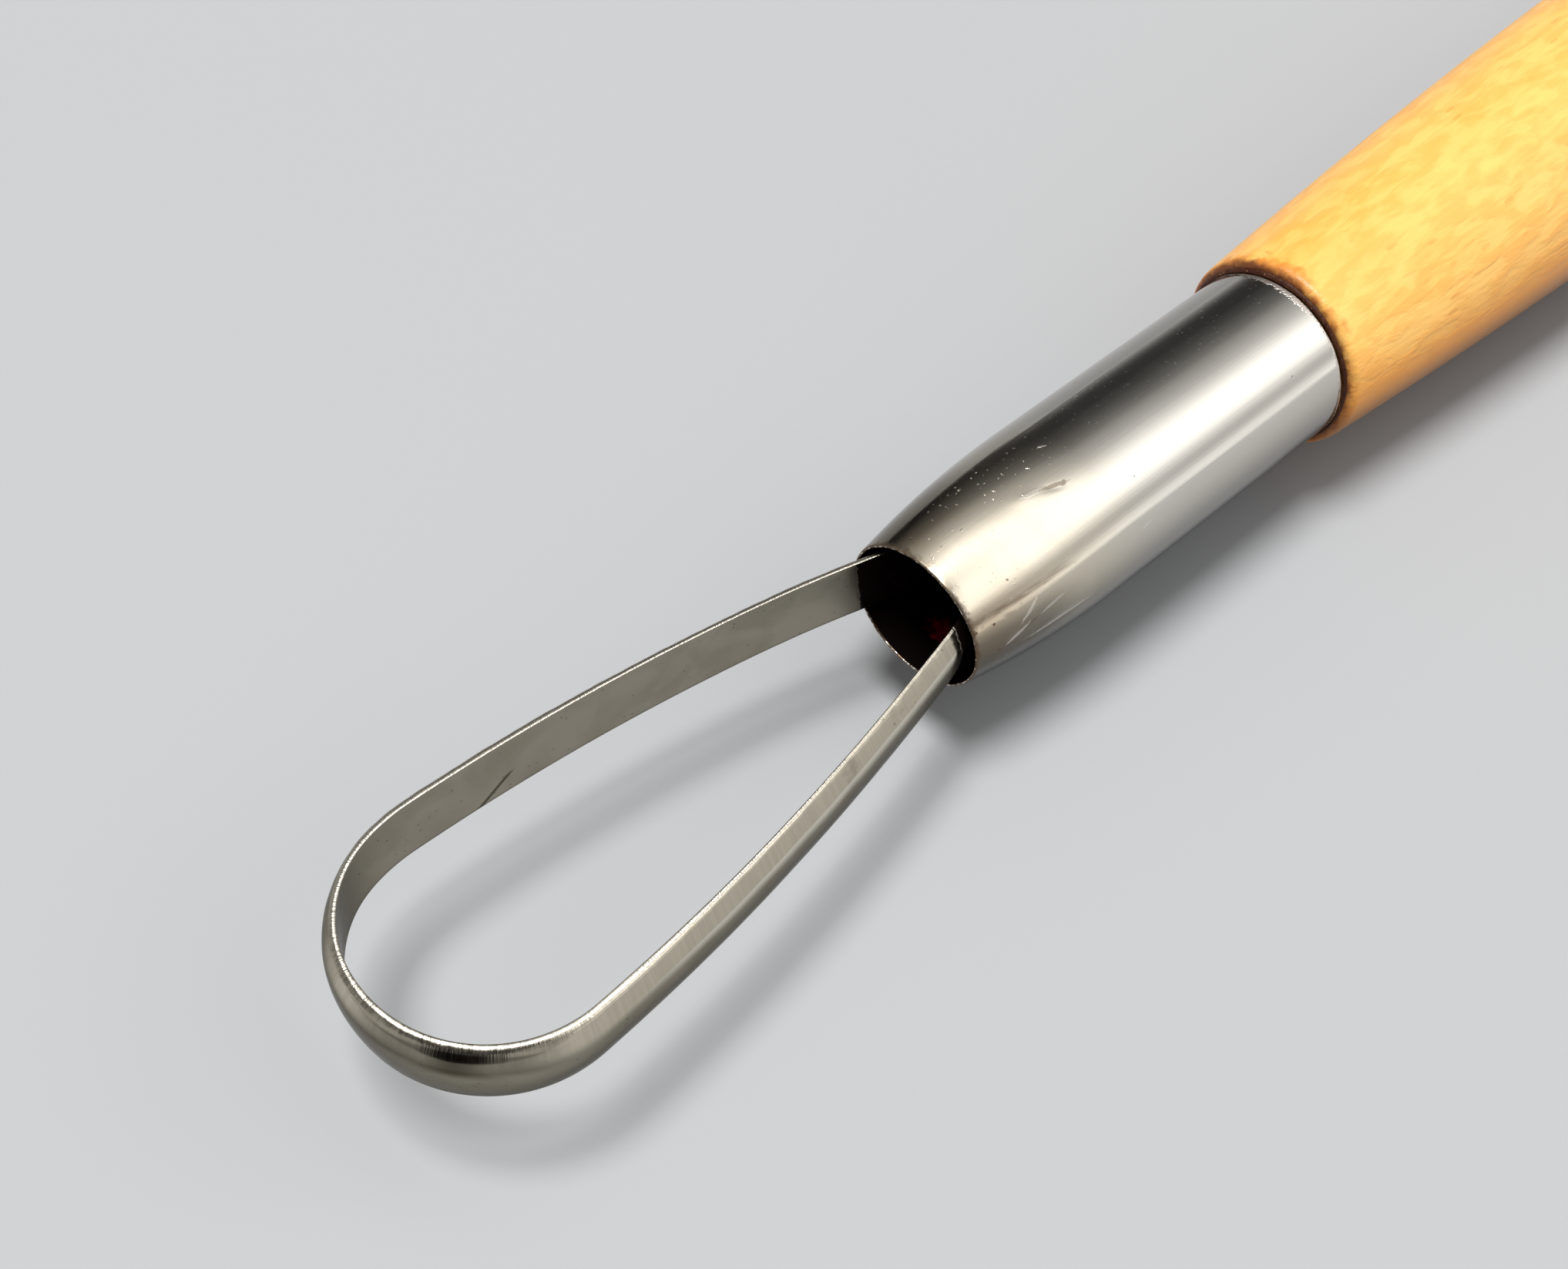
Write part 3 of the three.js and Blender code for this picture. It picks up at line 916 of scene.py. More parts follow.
@dataclass(frozen=True)
class BrownGlue(Finish):
    """Darkened glue squeezed from the joint, with dust set in it.

    Attributes:
        dark: Colour of the glue.
        dust: Colour of the dust and wood fibres in it.
    """

    slot: ClassVar[Slot] = Slot.GLUE
    dark: Colour = (0.04, 0.009, 0.003)
    dust: Colour = (0.22, 0.10, 0.045)

    def paint(self, sheet: NodeSheet, shader: Node) -> None:
        """Mixes glue and dust by fine noise."""
        place = sheet.place_mm()
        patches, _ = self.groups.handling(sheet, place, size=0.6)
        specks = self.groups.specks(sheet, place, spacing=0.2, radius=0.05, amount=0.3)
        dusty = sheet.largest(0.15 * patches, specks)
        sheet.dress(shader, {
            "Base Color": sheet.mix(dusty, self.dark, self.dust),
            "Roughness": 0.5 + 0.3 * dusty,
            "Normal": sheet.bump(patches, 0.00003, 0.6),
            "Specular IOR Level": 0.18,
        })


def finish_piece(piece: bpy.types.Object, node: str, material: bpy.types.Material) -> None:
    """Gives a piece its material and lets it stand for its solid."""
    piece.data.materials.append(material)
    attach(piece, BODY)
    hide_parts(node)


@dataclass(frozen=True)
class Dent:
    """A shallow dent in a ferrule.

    Attributes:
        x: Distance of its middle from the mouth, in mm.
        angle: Place round the ferrule in degrees, from straight up towards +Y.
        length: Half-length in mm.
        width: Half-width in mm.
        depth: Depth in mm.
        turn: Angle in degrees between its length and the ferrule's.
    """

    x: float
    angle: float
    length: float
    width: float
    depth: float
    turn: float = 0.0

    def sink(self, x: Array, angle: Array, radius: float) -> Array:
        """How deep the surface is pressed in: a bell of the squared distance in half-lengths and half-widths.

        Args:
            x: Distances from the mouth.
            angle: Angles in radians.
            radius: Radius of the tube.

        Returns:
            The depth at each place.
        """
        round_it = (angle - math.radians(self.angle) + np.pi) % (2 * np.pi) - np.pi
        along, across = x - self.x, round_it * radius
        cosine, sine = math.cos(math.radians(self.turn)), math.sin(math.radians(self.turn))
        u = (along * cosine + across * sine) / self.length
        v = (across * cosine - along * sine) / self.width
        return self.depth * np.exp(-(u**2 + v**2))


@dataclass(frozen=True)
class Ferrule:
    """A drawn tube that is pressed in to an oval mouth.

    Attributes:
        end: Which end it is on.
        dents: Its dents.
        length: Its length, as all sizes in mm.
        radius: Its outer radius.
        wall: Its wall.
        rim: The wall at the mouth, where the edge is worn thin.
        worn: How far in from the mouth the wall is thinned.
        drawn: Length that is drawn in.
        mouth_width: Outer width of the mouth, in the plane of the loop.
        mouth_height: Outer height of the mouth.
        edge: Radius of the rounded ends.
        ripple: Depth of the slow unevenness of the tube.
        rough_end: How far both ends waver.
        rough_reach: How far in from an end that shows.
        columns: Points round it.
    """

    end: End
    dents: tuple[Dent, ...]
    length: float
    radius: float
    wall: float = 0.25
    rim: float = 0.1
    worn: float = 1.6
    drawn: float = 8.0
    mouth_width: float = 6.6
    mouth_height: float = 6.15
    edge: float = 0.05
    ripple: float = 0.006
    rough_end: float = 0.018
    rough_reach: float = 0.5
    columns: int = 288

    @classmethod
    def from_frame(cls, end: End, dents: tuple[Dent, ...]) -> "Ferrule":
        """Takes the length and radius from the solid."""
        low, high = box_mm(end.node("ferrule"))
        return cls(end, dents, length=high.x - low.x, radius=(high.z - low.z) / 2)

    def bore(self, x: Array) -> Array:
        """The wall at a distance from the mouth: thin at the rim, full once past the worn stretch."""
        share = np.clip(x / self.worn, 0, 1)
        return self.rim + (self.wall - self.rim) * share * (2 - share)

    def stations(self) -> tuple[Array, Array]:
        """The ring of places that the wall's section runs through.

        It goes from the mouth back along the outside, round the back edge, forward along the bore and round
        the rim. Rounded edges are quarter circles.

        Returns:
            Distances from the mouth, and depths below the outer surface.
        """
        outside = evenly_between((self.edge, self.drawn + 1, self.length - self.edge), (119, 59))
        inside = evenly_between((self.length, self.drawn, 0.4, self.edge), (11, 23, 7))
        turn = np.linspace(0, np.pi / 2, 5)[1:]
        back_out = self.length - self.edge + self.edge * np.sin(turn)
        back_depth = self.edge * (1 - np.cos(turn))
        rim_x = self.edge * (1 - np.sin(turn))
        rim_depth = self.rim - self.edge * 0.6 * (1 - np.cos(turn))
        last_x, last_depth = [self.edge * 0.15], [self.edge * 0.4]
        x = np.concatenate([outside, back_out, inside, rim_x, last_x])
        depth = np.concatenate([0 * outside, back_depth, self.bore(inside), rim_depth, last_depth])
        return x, depth

    def strip(self) -> tuple[Array, Array]:
        """Values for the ferrule's map: depths below the outer surface, and lengths round it."""
        _, depth = self.stations()
        return np.append(depth, depth[0]), np.linspace(0, 2 * np.pi * self.radius, self.columns + 1)

    def surface(self) -> Array:
        """The grid of the whole tube.

        A point lies at the tube's radius less the drawn-in amount, which falls off as the square of the
        distance left to the end of the drawn stretch, less the dents and the depth below the surface. The
        drawn-in amount is taken for Y and Z on their own, which makes the mouth oval.

        Returns:
            Points in the end's frame.
        """
        x, depth = self.stations()
        angle = round_angles(self.columns)
        x_grid, angle_grid = np.meshgrid(x, angle, indexing="ij")
        left = np.clip(1 - x_grid / self.drawn, 0, 1) ** 2
        sunk = sum(dent.sink(x_grid, angle_grid, self.radius) for dent in self.dents)
        sunk = sunk + self.ripple * (1 + waves(angle_grid * self.radius, (9.0, 5.0, 3.1), 1.7)) * (1 + left)
        radius = self.radius - sunk - depth[:, None]
        y = np.sin(angle_grid) * (radius - (self.radius - self.mouth_width / 2) * left)
        z = np.cos(angle_grid) * (radius - (self.radius - self.mouth_height / 2) * left)
        uneven = self.rough_end * (1 + waves(angle_grid * self.radius, (6.0, 2.3, 0.9), 0.4))
        near_mouth = np.clip(1 - x_grid / self.rough_reach, 0, 1)
        near_back = np.clip(1 - (self.length - x_grid) / self.rough_reach, 0, 1)
        return np.stack([x_grid + uneven * (near_mouth - near_back), y, z], axis=-1)


@dataclass(frozen=True)
class StripLine:
    """The inner line of a loop of strip, from the end of one tail round the nose to the end of the other.

    Attributes:
        reach: Distance from the mouth to the outermost point of the loop, as all sizes in mm.
        nose_flat: Length of the straight across the nose.
        corner: Radius between the nose and a leg.
        leg: Radius of a leg, which is slightly bowed.
        leg_gap: Half the distance between the legs at the mouth.
        thickness: Thickness of the strip.
        tail: Distance from the mouth to the end of a tail.
        bend: Radius at which a leg turns parallel to the ferrule.
        step: Spacing of the points.
        tail_step: Their spacing along a tail.
    """

    reach: float
    nose_flat: float
    corner: float
    leg: float
    leg_gap: float
    thickness: float
    tail: float = 16.0
    bend: float = 10.0
    step: float = 0.13
    tail_step: float = 0.4

    def arc(self, centre: Array, radius: float, start: float, stop: float, side: int) -> tuple[Array, Array]:
        """Points of an arc and their directions out of the loop.

        Args:
            centre: The arc's centre.
            radius: Its radius.
            start: Angle where it starts.
            stop: Angle where it stops.
            side: 1 where the loop's outside is away from the centre, and -1 where it is towards it.

        Returns:
            The points without the first one, and the directions.
        """
        count = max(3, math.ceil(abs(stop - start) * radius / self.step))
        angles = np.linspace(start, stop, count + 1)[1:]
        ray = np.stack([np.cos(angles), np.sin(angles)], axis=-1)
        return centre + radius * ray, side * ray

    def half(self) -> tuple[Array, Array]:
        """One half of the line, from the middle of the nose to the end of the tail.

        The leg's arc touches the corner's arc and ends at the mouth. The angle of the touching point comes
        from the triangle of the two centres and the mouth, by the law of cosines.

        Returns:
            Points, and directions out of the loop.
        """
        corner = np.array([self.thickness - self.reach + self.corner, self.nose_flat / 2])
        mouth = np.array([0.0, self.leg_gap])
        span = mouth - corner
        distance = math.hypot(*span)
        between = self.leg - self.corner
        cosine = (self.leg**2 - between**2 - distance**2) / (2 * between * distance)
        touch = math.atan2(span[1], span[0]) + math.acos(cosine)
        leg = corner - between * np.array([math.cos(touch), math.sin(touch)])
        ray = (mouth - leg) / math.hypot(*(mouth - leg))
        leg_end = math.atan2(ray[1], ray[0])
        bend = leg + ray * (self.leg + self.bend)
        flat = np.linspace(0, self.nose_flat / 2, max(1, math.ceil(self.nose_flat / 2 / self.step)))[:, None]
        nose = np.array([corner[0] - self.corner, 0.0]) + flat * [0.0, 1.0]
        straight = np.arange(bend[0] + self.tail_step, self.tail, self.tail_step)
        tail = np.array([0.0, bend[1] - self.bend]) + np.append(straight, self.tail)[:, None] * [1.0, 0.0]
        parts = [
            (nose, np.tile([-1.0, 0.0], (len(nose), 1))),
            self.arc(corner, self.corner, np.pi, touch, 1),
            self.arc(leg, self.leg, touch, leg_end, 1),
            self.arc(bend, self.bend, leg_end - np.pi, -np.pi / 2, -1),
            (tail, np.tile([0.0, 1.0], (len(tail), 1))),
        ]
        return np.concatenate([p for p, _ in parts]), np.concatenate([n for _, n in parts])

    def whole(self) -> tuple[Array, Array, Array]:
        """The whole line: the half and its mirror image.

        Returns:
            Points, directions out of the loop, and lengths along the strip from the middle of the nose.
        """
        points, outward = self.half()
        mirror = np.array([1.0, -1.0])
        line = np.concatenate([points[:0:-1] * mirror, points])
        normals = np.concatenate([outward[:0:-1] * mirror, outward])
        lengths = np.concatenate([[0], np.cumsum(np.hypot(*np.diff(line, axis=0).T))])
        return line, normals, lengths - lengths[len(points) - 1]


@dataclass(frozen=True)
class Course:
    """A size that changes along a strip.

    Attributes:
        places: Lengths from the middle of the nose, in mm.
        values: The size at each of them, in mm.
    """

    places: tuple[float, ...]
    values: tuple[float, ...]

    def at(self, lengths: Array) -> Array:
        """The size at each length.

        Between two places it follows the cubic curve that meets both values with the mean slopes there. Past
        the last place it stays as it is.

        Args:
            lengths: Lengths along the strip.

        Returns:
            The size at each of them.
        """
        x, y = np.array(self.places), np.array(self.values)
        slope = np.gradient(y, x)
        k = np.clip(np.searchsorted(x, lengths) - 1, 0, len(x) - 2)
        span = x[k + 1] - x[k]
        t = np.clip((lengths - x[k]) / span, 0, 1)
        first = (1 + 2 * t) * (1 - t) ** 2 * y[k] + t * (1 - t) ** 2 * span * slope[k]
        last = t**2 * (3 - 2 * t) * y[k + 1] - t**2 * (1 - t) * span * slope[k + 1]
        return first + last


def cross(a: Array, b: Array) -> Array:
    """The cross product of vectors in a plane, with a last axis of one."""
    return a[..., :1] * b[..., 1:] - a[..., 1:] * b[..., :1]


def rounded_outline(corners: Array, rounding: tuple[float, ...], swell: tuple[float, ...],
                    counts: tuple[int, ...]) -> tuple[Array, Array]:
    """Closed outlines with rounded corners and slightly swollen sides.

    A side runs from corner k to corner k + 1, less the lengths that the corners' curves take from it. Its
    middle stands out by the swell, along a parabola. A corner's curve is a quadratic Bezier curve whose
    control point is where the ends of both parabolas point. The outlines run clockwise.

    Args:
        corners: Places of the corners, as outlines by corners by 2.
        rounding: Length that each corner's curve takes from both its sides, which leaves some of the shorter.
        swell: How far the middle of each side stands out.
        counts: Points along each side.

    Returns:
        The points, as outlines by points by 2, and for each point the number of its side plus the share of
        the way across it, with one more value for the point that closes the outline.
    """
    sides, margin, most = len(counts), 0.05, 0.48
    points, shares = [], []
    turn = np.linspace(0, 1, 10)[1:-1, None]
    ways = np.roll(corners, -1, axis=1) - corners
    lengths = np.linalg.norm(ways, axis=-1, keepdims=True)
    ways = ways / lengths
    shorter = np.minimum(lengths, np.roll(lengths, 1, axis=1))
    taken = np.minimum(np.array(rounding)[:, None], most * shorter)
    outwards = np.stack([-ways[..., 1], ways[..., 0]], axis=-1)
    slopes = 4 * np.array(swell)[:, None] / (lengths - taken - np.roll(taken, -1, axis=1))
    for k in range(sides):
        after = (k + 1) % sides
        here, there = corners[:, None, k], corners[:, None, after]
        way, next_way, radius = ways[:, None, k], ways[:, None, after], taken[:, None, after]
        outward = outwards[:, None, k]
        start, stop, onward = here + way * taken[:, None, k], there - way * radius, there + next_way * radius
        leaving = way - slopes[:, None, k] * outward
        arriving = next_way + slopes[:, None, after] * outwards[:, None, after]
        control = stop + leaving * cross(onward - stop, arriving) / cross(leaving, arriving)
        share = np.linspace(0, 1, counts[k])[:, None]
        points.append(start + (stop - start) * share + 4 * swell[k] * share * (1 - share) * outward)
        points.append((1 - turn) ** 2 * stop + 2 * turn * (1 - turn) * control + turn**2 * onward)
        shares += [k + margin + (1 - 2 * margin) * share[:, 0], k + 1 + margin * (2 * turn[:, 0] - 1)]
    return np.concatenate(points, axis=1), np.concatenate([*shares, [sides + margin]])


@dataclass(frozen=True)
class RibbonLoop:
    """A loop of steel strip, flat inside and ground to a crest outside.

    Attributes:
        end: Which end it is on.
        line: Its inner line.
        width: Width of the strip in mm, as all sizes.
        bow: How far the strip stands out from its line.
        land: Width of the ground upper edge.
        thickness: Thickness at the crest.
        crest: Height of the crest above the middle.
        start: Shifts the unevenness of the grinding, so that the loops differ.
        foot: Width of the lower edge.
        rounding: Length that each corner's curve takes from its sides, from the lower inner corner up, over
            and down to the foot's outer one.
        swell: How far the middle of each side stands out, from the inner face round to the foot.
        counts: Points along each side.
    """

    end: End
    line: StripLine
    width: float
    bow: Course
    land: Course
    thickness: Course
    crest: Course
    start: float = 0.0
    foot: float = 0.38
    rounding: tuple[float, ...] = (0.05, 0.03, 0.13, 0.3, 0.09)
    swell: tuple[float, ...] = (0.0, 0.004, 0.014, 0.08, 0.005)
    counts: tuple[int, ...] = (12, 4, 8, 14, 4)

    def section(self, lengths: Array) -> tuple[Array, Array]:
        """The section at each length along the strip.

        It runs up the inner face, over the land, down both bevels and back along the foot. Slow and quick
        ripples in the sizes stand for grinding by hand.

        Args:
            lengths: Lengths along the strip.

        Returns:
            Offsets out of the loop and heights, as lengths by points by 2, and the sides' numbers.
        """
        half, none = self.width / 2, np.zeros_like(lengths)
        drift = waves(lengths, (11.0, 6.1, 2.7), self.start)
        quick = waves(lengths, (2.3, 1.3, 0.7), self.start + 1)
        land = self.land.at(lengths) + 0.012 * drift + 0.012 * quick
        thickness = self.thickness.at(lengths) - 0.006 * (1 + drift)
        crest = self.crest.at(lengths) + 0.03 * drift + 0.012 * quick
        corners = np.stack([
            np.stack([none, none - half], axis=-1),
            np.stack([none, none + half], axis=-1),
            np.stack([land, none + half], axis=-1),
            np.stack([thickness, crest], axis=-1),
            np.stack([none + self.foot, none - half], axis=-1),
        ], axis=1)
        outline, sides = rounded_outline(corners, self.rounding, self.swell, self.counts)
        outline[..., 0] += self.bow.at(lengths)[:, None]
        return outline, sides

    def surface(self) -> tuple[Array, Array, Array]:
        """The grid of the loop: each section set square to the line, with its offset out of the loop.

        Both ends are closed by a row that shrinks to the section's middle.

        Returns:
            Points in the end's frame, lengths along the strip and the sides' numbers.
        """
        line, normals, lengths = self.line.whole()
        outline, sides = self.section(lengths)
        flat = line[:, None, :] + outline[..., :1] * normals[:, None, :]
        grid = np.concatenate([flat, outline[..., 1:]], axis=-1)
        caps = grid[[0, -1]].mean(axis=1, keepdims=True) * np.ones((1, grid.shape[1], 1))
        points = np.concatenate([caps[:1], grid, caps[1:]])
        return points, np.concatenate([lengths[:1], lengths, lengths[-1:]]), sides


@dataclass(frozen=True)
class ResinPlug:
    """The adhesive that fills the ferrule behind its mouth and holds the tails of a loop.

    Attributes:
        end: Which end it is on.
        face: Distance from the mouth to its face, in mm as all sizes.
        back: Distance from the mouth to its back.
        radius: Its radius.
        tail_offset: Distance of the tails from the middle.
        climb: How far it climbs up the bore and the tails.
        bell: Half-width and half-height of the climb round a tail.
        lumps: Height of the slow lumps.
        hollow: How much further back its middle lies.
        edge: Depth of the stretch behind the face that has points of its own.
        face_rows: Points from the middle of the face to the bore.
        columns: Points round it.
    """

    end: End
    face: float
    back: float
    radius: float
    tail_offset: float = 2.0
    climb: float = 0.45
    bell: Span = (0.7, 1.9)
    lumps: float = 0.12
    hollow: float = 0.3
    edge: float = 0.6
    face_rows: int = 28
    columns: int = 128

    @classmethod
    def from_frame(cls, end: End, mouth: float) -> "ResinPlug":
        """Takes its place and radius from the solid."""
        low, high = box_mm(end.node("resin_plug"))
        near, far = sorted(mouth - abs(x) for x in (low.x, high.x))
        return cls(end, near, far, (high.z - low.z) / 2)

    def surface(self) -> Array:
        """The grid from the middle of the face out to the bore, back along it and in to the middle again.

        The face is hollow: it climbs by the sixth power of the radius at the bore, and by a bell round each
        tail, with a few slow lumps.

        Returns:
            Points in the end's frame.
        """
        angle = round_angles(self.columns)
        rows = np.concatenate([np.linspace(0, 1, self.face_rows), [1.0, 1.0, 0.6, 0.0]])
        behind = [self.face + self.edge, self.back, self.back, self.back]
        x = np.concatenate([np.full(self.face_rows, self.face), behind])
        radius, turn = np.meshgrid(rows * self.radius, angle, indexing="ij")
        y, z = radius * np.sin(turn), radius * np.cos(turn)
        on_face = (np.arange(len(rows)) < self.face_rows)[:, None]
        wall = (radius / self.radius) ** 6
        wide, high = self.bell
        bells = [np.exp(-(((y - side * self.tail_offset) / wide) ** 2 + (z / high) ** 4)) for side in (-1, 1)]
        lumps = self.lumps * waves(y + 0.6 * z, (3.3, 2.1), 0.8) * (1 - wall)
        climb = self.climb * np.maximum(wall, 0.9 * sum(bells)) + lumps * (radius > 0)
        return np.stack([x[:, None] + (self.hollow - climb) * on_face, y, z], axis=-1)


@dataclass(frozen=True)
class GlueBead:
    """The uneven line of glue between a ferrule and the shoulder of the handle.

    Attributes:
        end: Which end it is on.
        inner: Its inner radius, in mm as all sizes.
        back: Distance from the mouth to the shoulder's side of it.
        size: Its greatest size.
        shares: Its mean size, how much it changes from one side to the other, and how much it wavers slowly
            and quickly, all as shares of its greatest size.
        thickest: Angle in radians at which it is thickest.
        columns: Points round it.
    """

    end: End
    inner: float
    back: float
    size: float
    shares: tuple[float, ...] = (0.3, 0.1, 0.08, 0.05)
    thickest: float = 0.9
    columns: int = 480

    @classmethod
    def from_frame(cls, end: End, mouth: float, ferrule: Ferrule) -> "GlueBead":
        """Takes its place and size from the solid, just clear of the ferrule and sunk into the wood."""
        clear, sunk = 0.02, 0.07
        low, high = box_mm(end.node("glue_bead"))
        near, far = sorted(mouth - abs(x) for x in (low.x, high.x))
        return cls(end, ferrule.radius + clear, far + sunk, far - near)

    def surface(self) -> Array:
        """The grid of the bead: a closed drop-shaped section carried round the ferrule.

        The section is a quarter circle between the ferrule and the wood. Its radius wavers round the joint
        and is largest on the upper +Y side.

        Returns:
            Points in the end's frame.
        """
        angle = round_angles(self.columns)
        turn = np.linspace(0, np.pi / 2, 7)
        arc_x = np.concatenate([-np.cos(turn), [0.0, -0.5]])
        arc_r = np.concatenate([np.sin(turn), [0.0, 0.0]])
        place = angle * self.inner
        slow, quick = waves(place, (7.0, 3.1, 1.3), 2.1), waves(place, (0.83, 0.57, 0.31, 0.19), 0.7)
        mean, lean, slowly, quickly = self.shares
        share = mean + lean * np.cos(angle - self.thickest) + (slowly * slow + quickly * quick)
        size = self.size * share
        x = self.back + arc_x[:, None] * size[None, :]
        radius = self.inner + arc_r[:, None] * size[None, :]
        return np.stack([x, radius * np.sin(angle), radius * np.cos(angle)], axis=-1)


@dataclass(frozen=True)
class Handle:
    """The turned handle, with a tenon in each ferrule.

    Attributes:
        shoulder: Distance of a shoulder from the middle of the tool, in mm as all sizes.
        tenon: Distance of a tenon's end from the middle.
        tenon_radius: Radius of a tenon.
        belly: Radius of the belly.
        belly_length: Length of the straight belly.
        ferrule_radius: Outer radius of a ferrule.
        proud: How far a shoulder stands out round the ferrule, and its edge radius.
        groove_floor: Distance of a tail groove's floor from the middle.
        groove_height: Height of a tail groove.
        groove_end: Distance of a groove's end from the middle of the tool.
        chamfer: Chamfer of a tenon's end.
        rings: Half the greatest depth of the rings that turning leaves.
        columns: Points round it.
    """

    shoulder: float
    tenon: float
    belly: float
    ferrule_radius: float
    tenon_radius: float = 3.45
    belly_length: float = 18.0
    proud: float = 0.5
    groove_floor: float = 1.4
    groove_height: float = 3.775
    groove_end: float = 58.7
    chamfer: float = 0.6
    rings: float = 0.004
    columns: int = 224

    @classmethod
    def from_frame(cls, ferrule: Ferrule, mouth: float, gap: float = 0.2) -> "Handle":
        """Takes its sizes from the solid and the ferrule's back end."""
        low, high = box_mm("handle")
        return cls(mouth - ferrule.length - gap, high.x, (high.z - low.z) / 2, ferrule.radius)

    def profile(self) -> tuple[Array, Array]:
        """Places along the visible wood and the radii there.

        From a shoulder's quarter circle the radius grows as a parabola that levels out at the belly, and the
        other half is its mirror image.

        Returns:
            Distances from the middle and radii, from the front shoulder to the rear one.
        """
        turn = np.linspace(0, np.pi / 2, 9)
        edge_x = -self.shoulder + self.proud * (1 - np.cos(turn))
        edge_r = self.ferrule_radius + self.proud * np.sin(turn)
        start = -self.shoulder + self.proud
        x = np.linspace(start, -self.belly_length / 2, 110)[1:]
        share = (x - start) / (-self.belly_length / 2 - start)
        neck = self.ferrule_radius + self.proud
        radius = neck + (self.belly - neck) * (1 - (1 - share) ** 2)
        middle = np.linspace(-self.belly_length / 2, 0, 16)[1:]
        half_x = np.concatenate([edge_x, x, middle])
        half_r = np.concatenate([edge_r, radius, np.full(len(middle), self.belly)])
        return np.concatenate([half_x, -half_x[-2::-1]]), np.concatenate([half_r, half_r[-2::-1]])

    def grooved(self, angle: Array) -> Array:
        """The tenon's section with a groove on either side, for as many points as there are angles.

        Points of the circle that lie beside a groove's mouth are spread over its wall, floor and other wall
        instead, by their share of the way.

        Args:
            angle: Angles round the axis, from straight up towards +Y.

        Returns:
            Y and Z of each point.
        """
        half = self.groove_height / 2
        mouth_y = math.sqrt(self.tenon_radius**2 - half**2)
        first = math.acos(half / self.tenon_radius)
        depth = mouth_y - self.groove_floor
        way = [0, depth, depth + self.groove_height, 2 * depth + self.groove_height]
        ys, zs = [mouth_y, self.groove_floor, self.groove_floor, mouth_y], [half, half, -half, -half]
        folded = np.where(angle > np.pi, 2 * np.pi - angle, angle)
        share = np.clip((folded - first) / (np.pi - 2 * first), 0, 1) * way[-1]
        beside = (folded > first) & (folded < np.pi - first)
        y = np.where(beside, np.interp(share, way, ys), self.tenon_radius * np.sin(folded))
        z = np.where(beside, np.interp(share, way, zs), self.tenon_radius * np.cos(folded))
        return np.stack([np.where(angle > np.pi, -y, y), z], axis=-1)

    def surface(self) -> Array:
        """The grid of the whole handle: tenon, visible wood and the other tenon.

        The turning leaves faint rings, which only ever take wood away.

        Returns:
            Points round the handle's axis.
        """
        angle = round_angles(self.columns)
        circle = np.stack([np.sin(angle), np.cos(angle)], axis=-1)
        x, radius = self.profile()
        radius = radius - self.rings * (1 + waves(x, (2.3, 1.1, 0.61), 0.9))
        wood = np.concatenate([np.tile(x[:, None, None], (1, self.columns, 1)),
                               radius[:, None, None] * circle], axis=-1)
        slotted, round_section = self.grooved(angle), circle * self.tenon_radius
        scale = 1 - self.chamfer / self.tenon_radius
        ends = [(self.tenon, slotted * 0), (self.tenon, slotted * scale),
                (self.tenon - self.chamfer, slotted), (self.groove_end, slotted),
                (self.groove_end, round_section), (self.shoulder, round_section)]
        rows = [np.concatenate([np.full((self.columns, 1), at), yz], axis=-1) for at, yz in ends]
        front = np.stack(rows) * [-1, 1, 1]
        return np.concatenate([front, wood, np.stack(rows[::-1])])


@dataclass(frozen=True)
class PhotoCamera:
    """The camera at the photograph's viewing angle.

    Attributes:
        azimuth: Angle round the tool in degrees, where 0 looks along +Y.
        elevation: Angle above the table in degrees.
        roll: Turn about the viewing line in degrees.
        place: Where it stands, in mm.
        lens: Focal length in mm for a sensor 36 mm wide.
    """

    azimuth: float = -48.82
    elevation: float = 52.841
    roll: float = 6.692
    place: Place = (-116.12, -29.45, 70.57)
    lens: float = 48.549

    def build(self) -> bpy.types.Object:
        """Makes the camera and turns it by its three angles.

        Its back axis follows from azimuth and elevation. Its right and up axes are then turned by the roll.

        Returns:
            The camera object.
        """
        a, e, r = (math.radians(x) for x in (self.azimuth, self.elevation, self.roll))
        back = Vector((math.sin(a) * math.cos(e), -math.cos(a) * math.cos(e), math.sin(e)))
        level = Vector((math.cos(a), math.sin(a), 0))
        above = back.cross(level)
        right = level * math.cos(r) + above * math.sin(r)
        up = above * math.cos(r) - level * math.sin(r)
        data = bpy.data.cameras.new("photo_camera")
        data.sensor_fit = "HORIZONTAL"
        data.sensor_width = 36
        data.lens = self.lens
        data.clip_start = 0.005
        data.clip_end = 100
        camera = bpy.data.objects.new("photo_camera", data)
        turn = Matrix((right, up, back)).transposed().to_4x4()
        camera.matrix_world = Matrix.Translation(Vector(self.place) * MM) @ turn
        bpy.context.collection.objects.link(camera)
        bpy.context.scene.camera = camera
        return camera


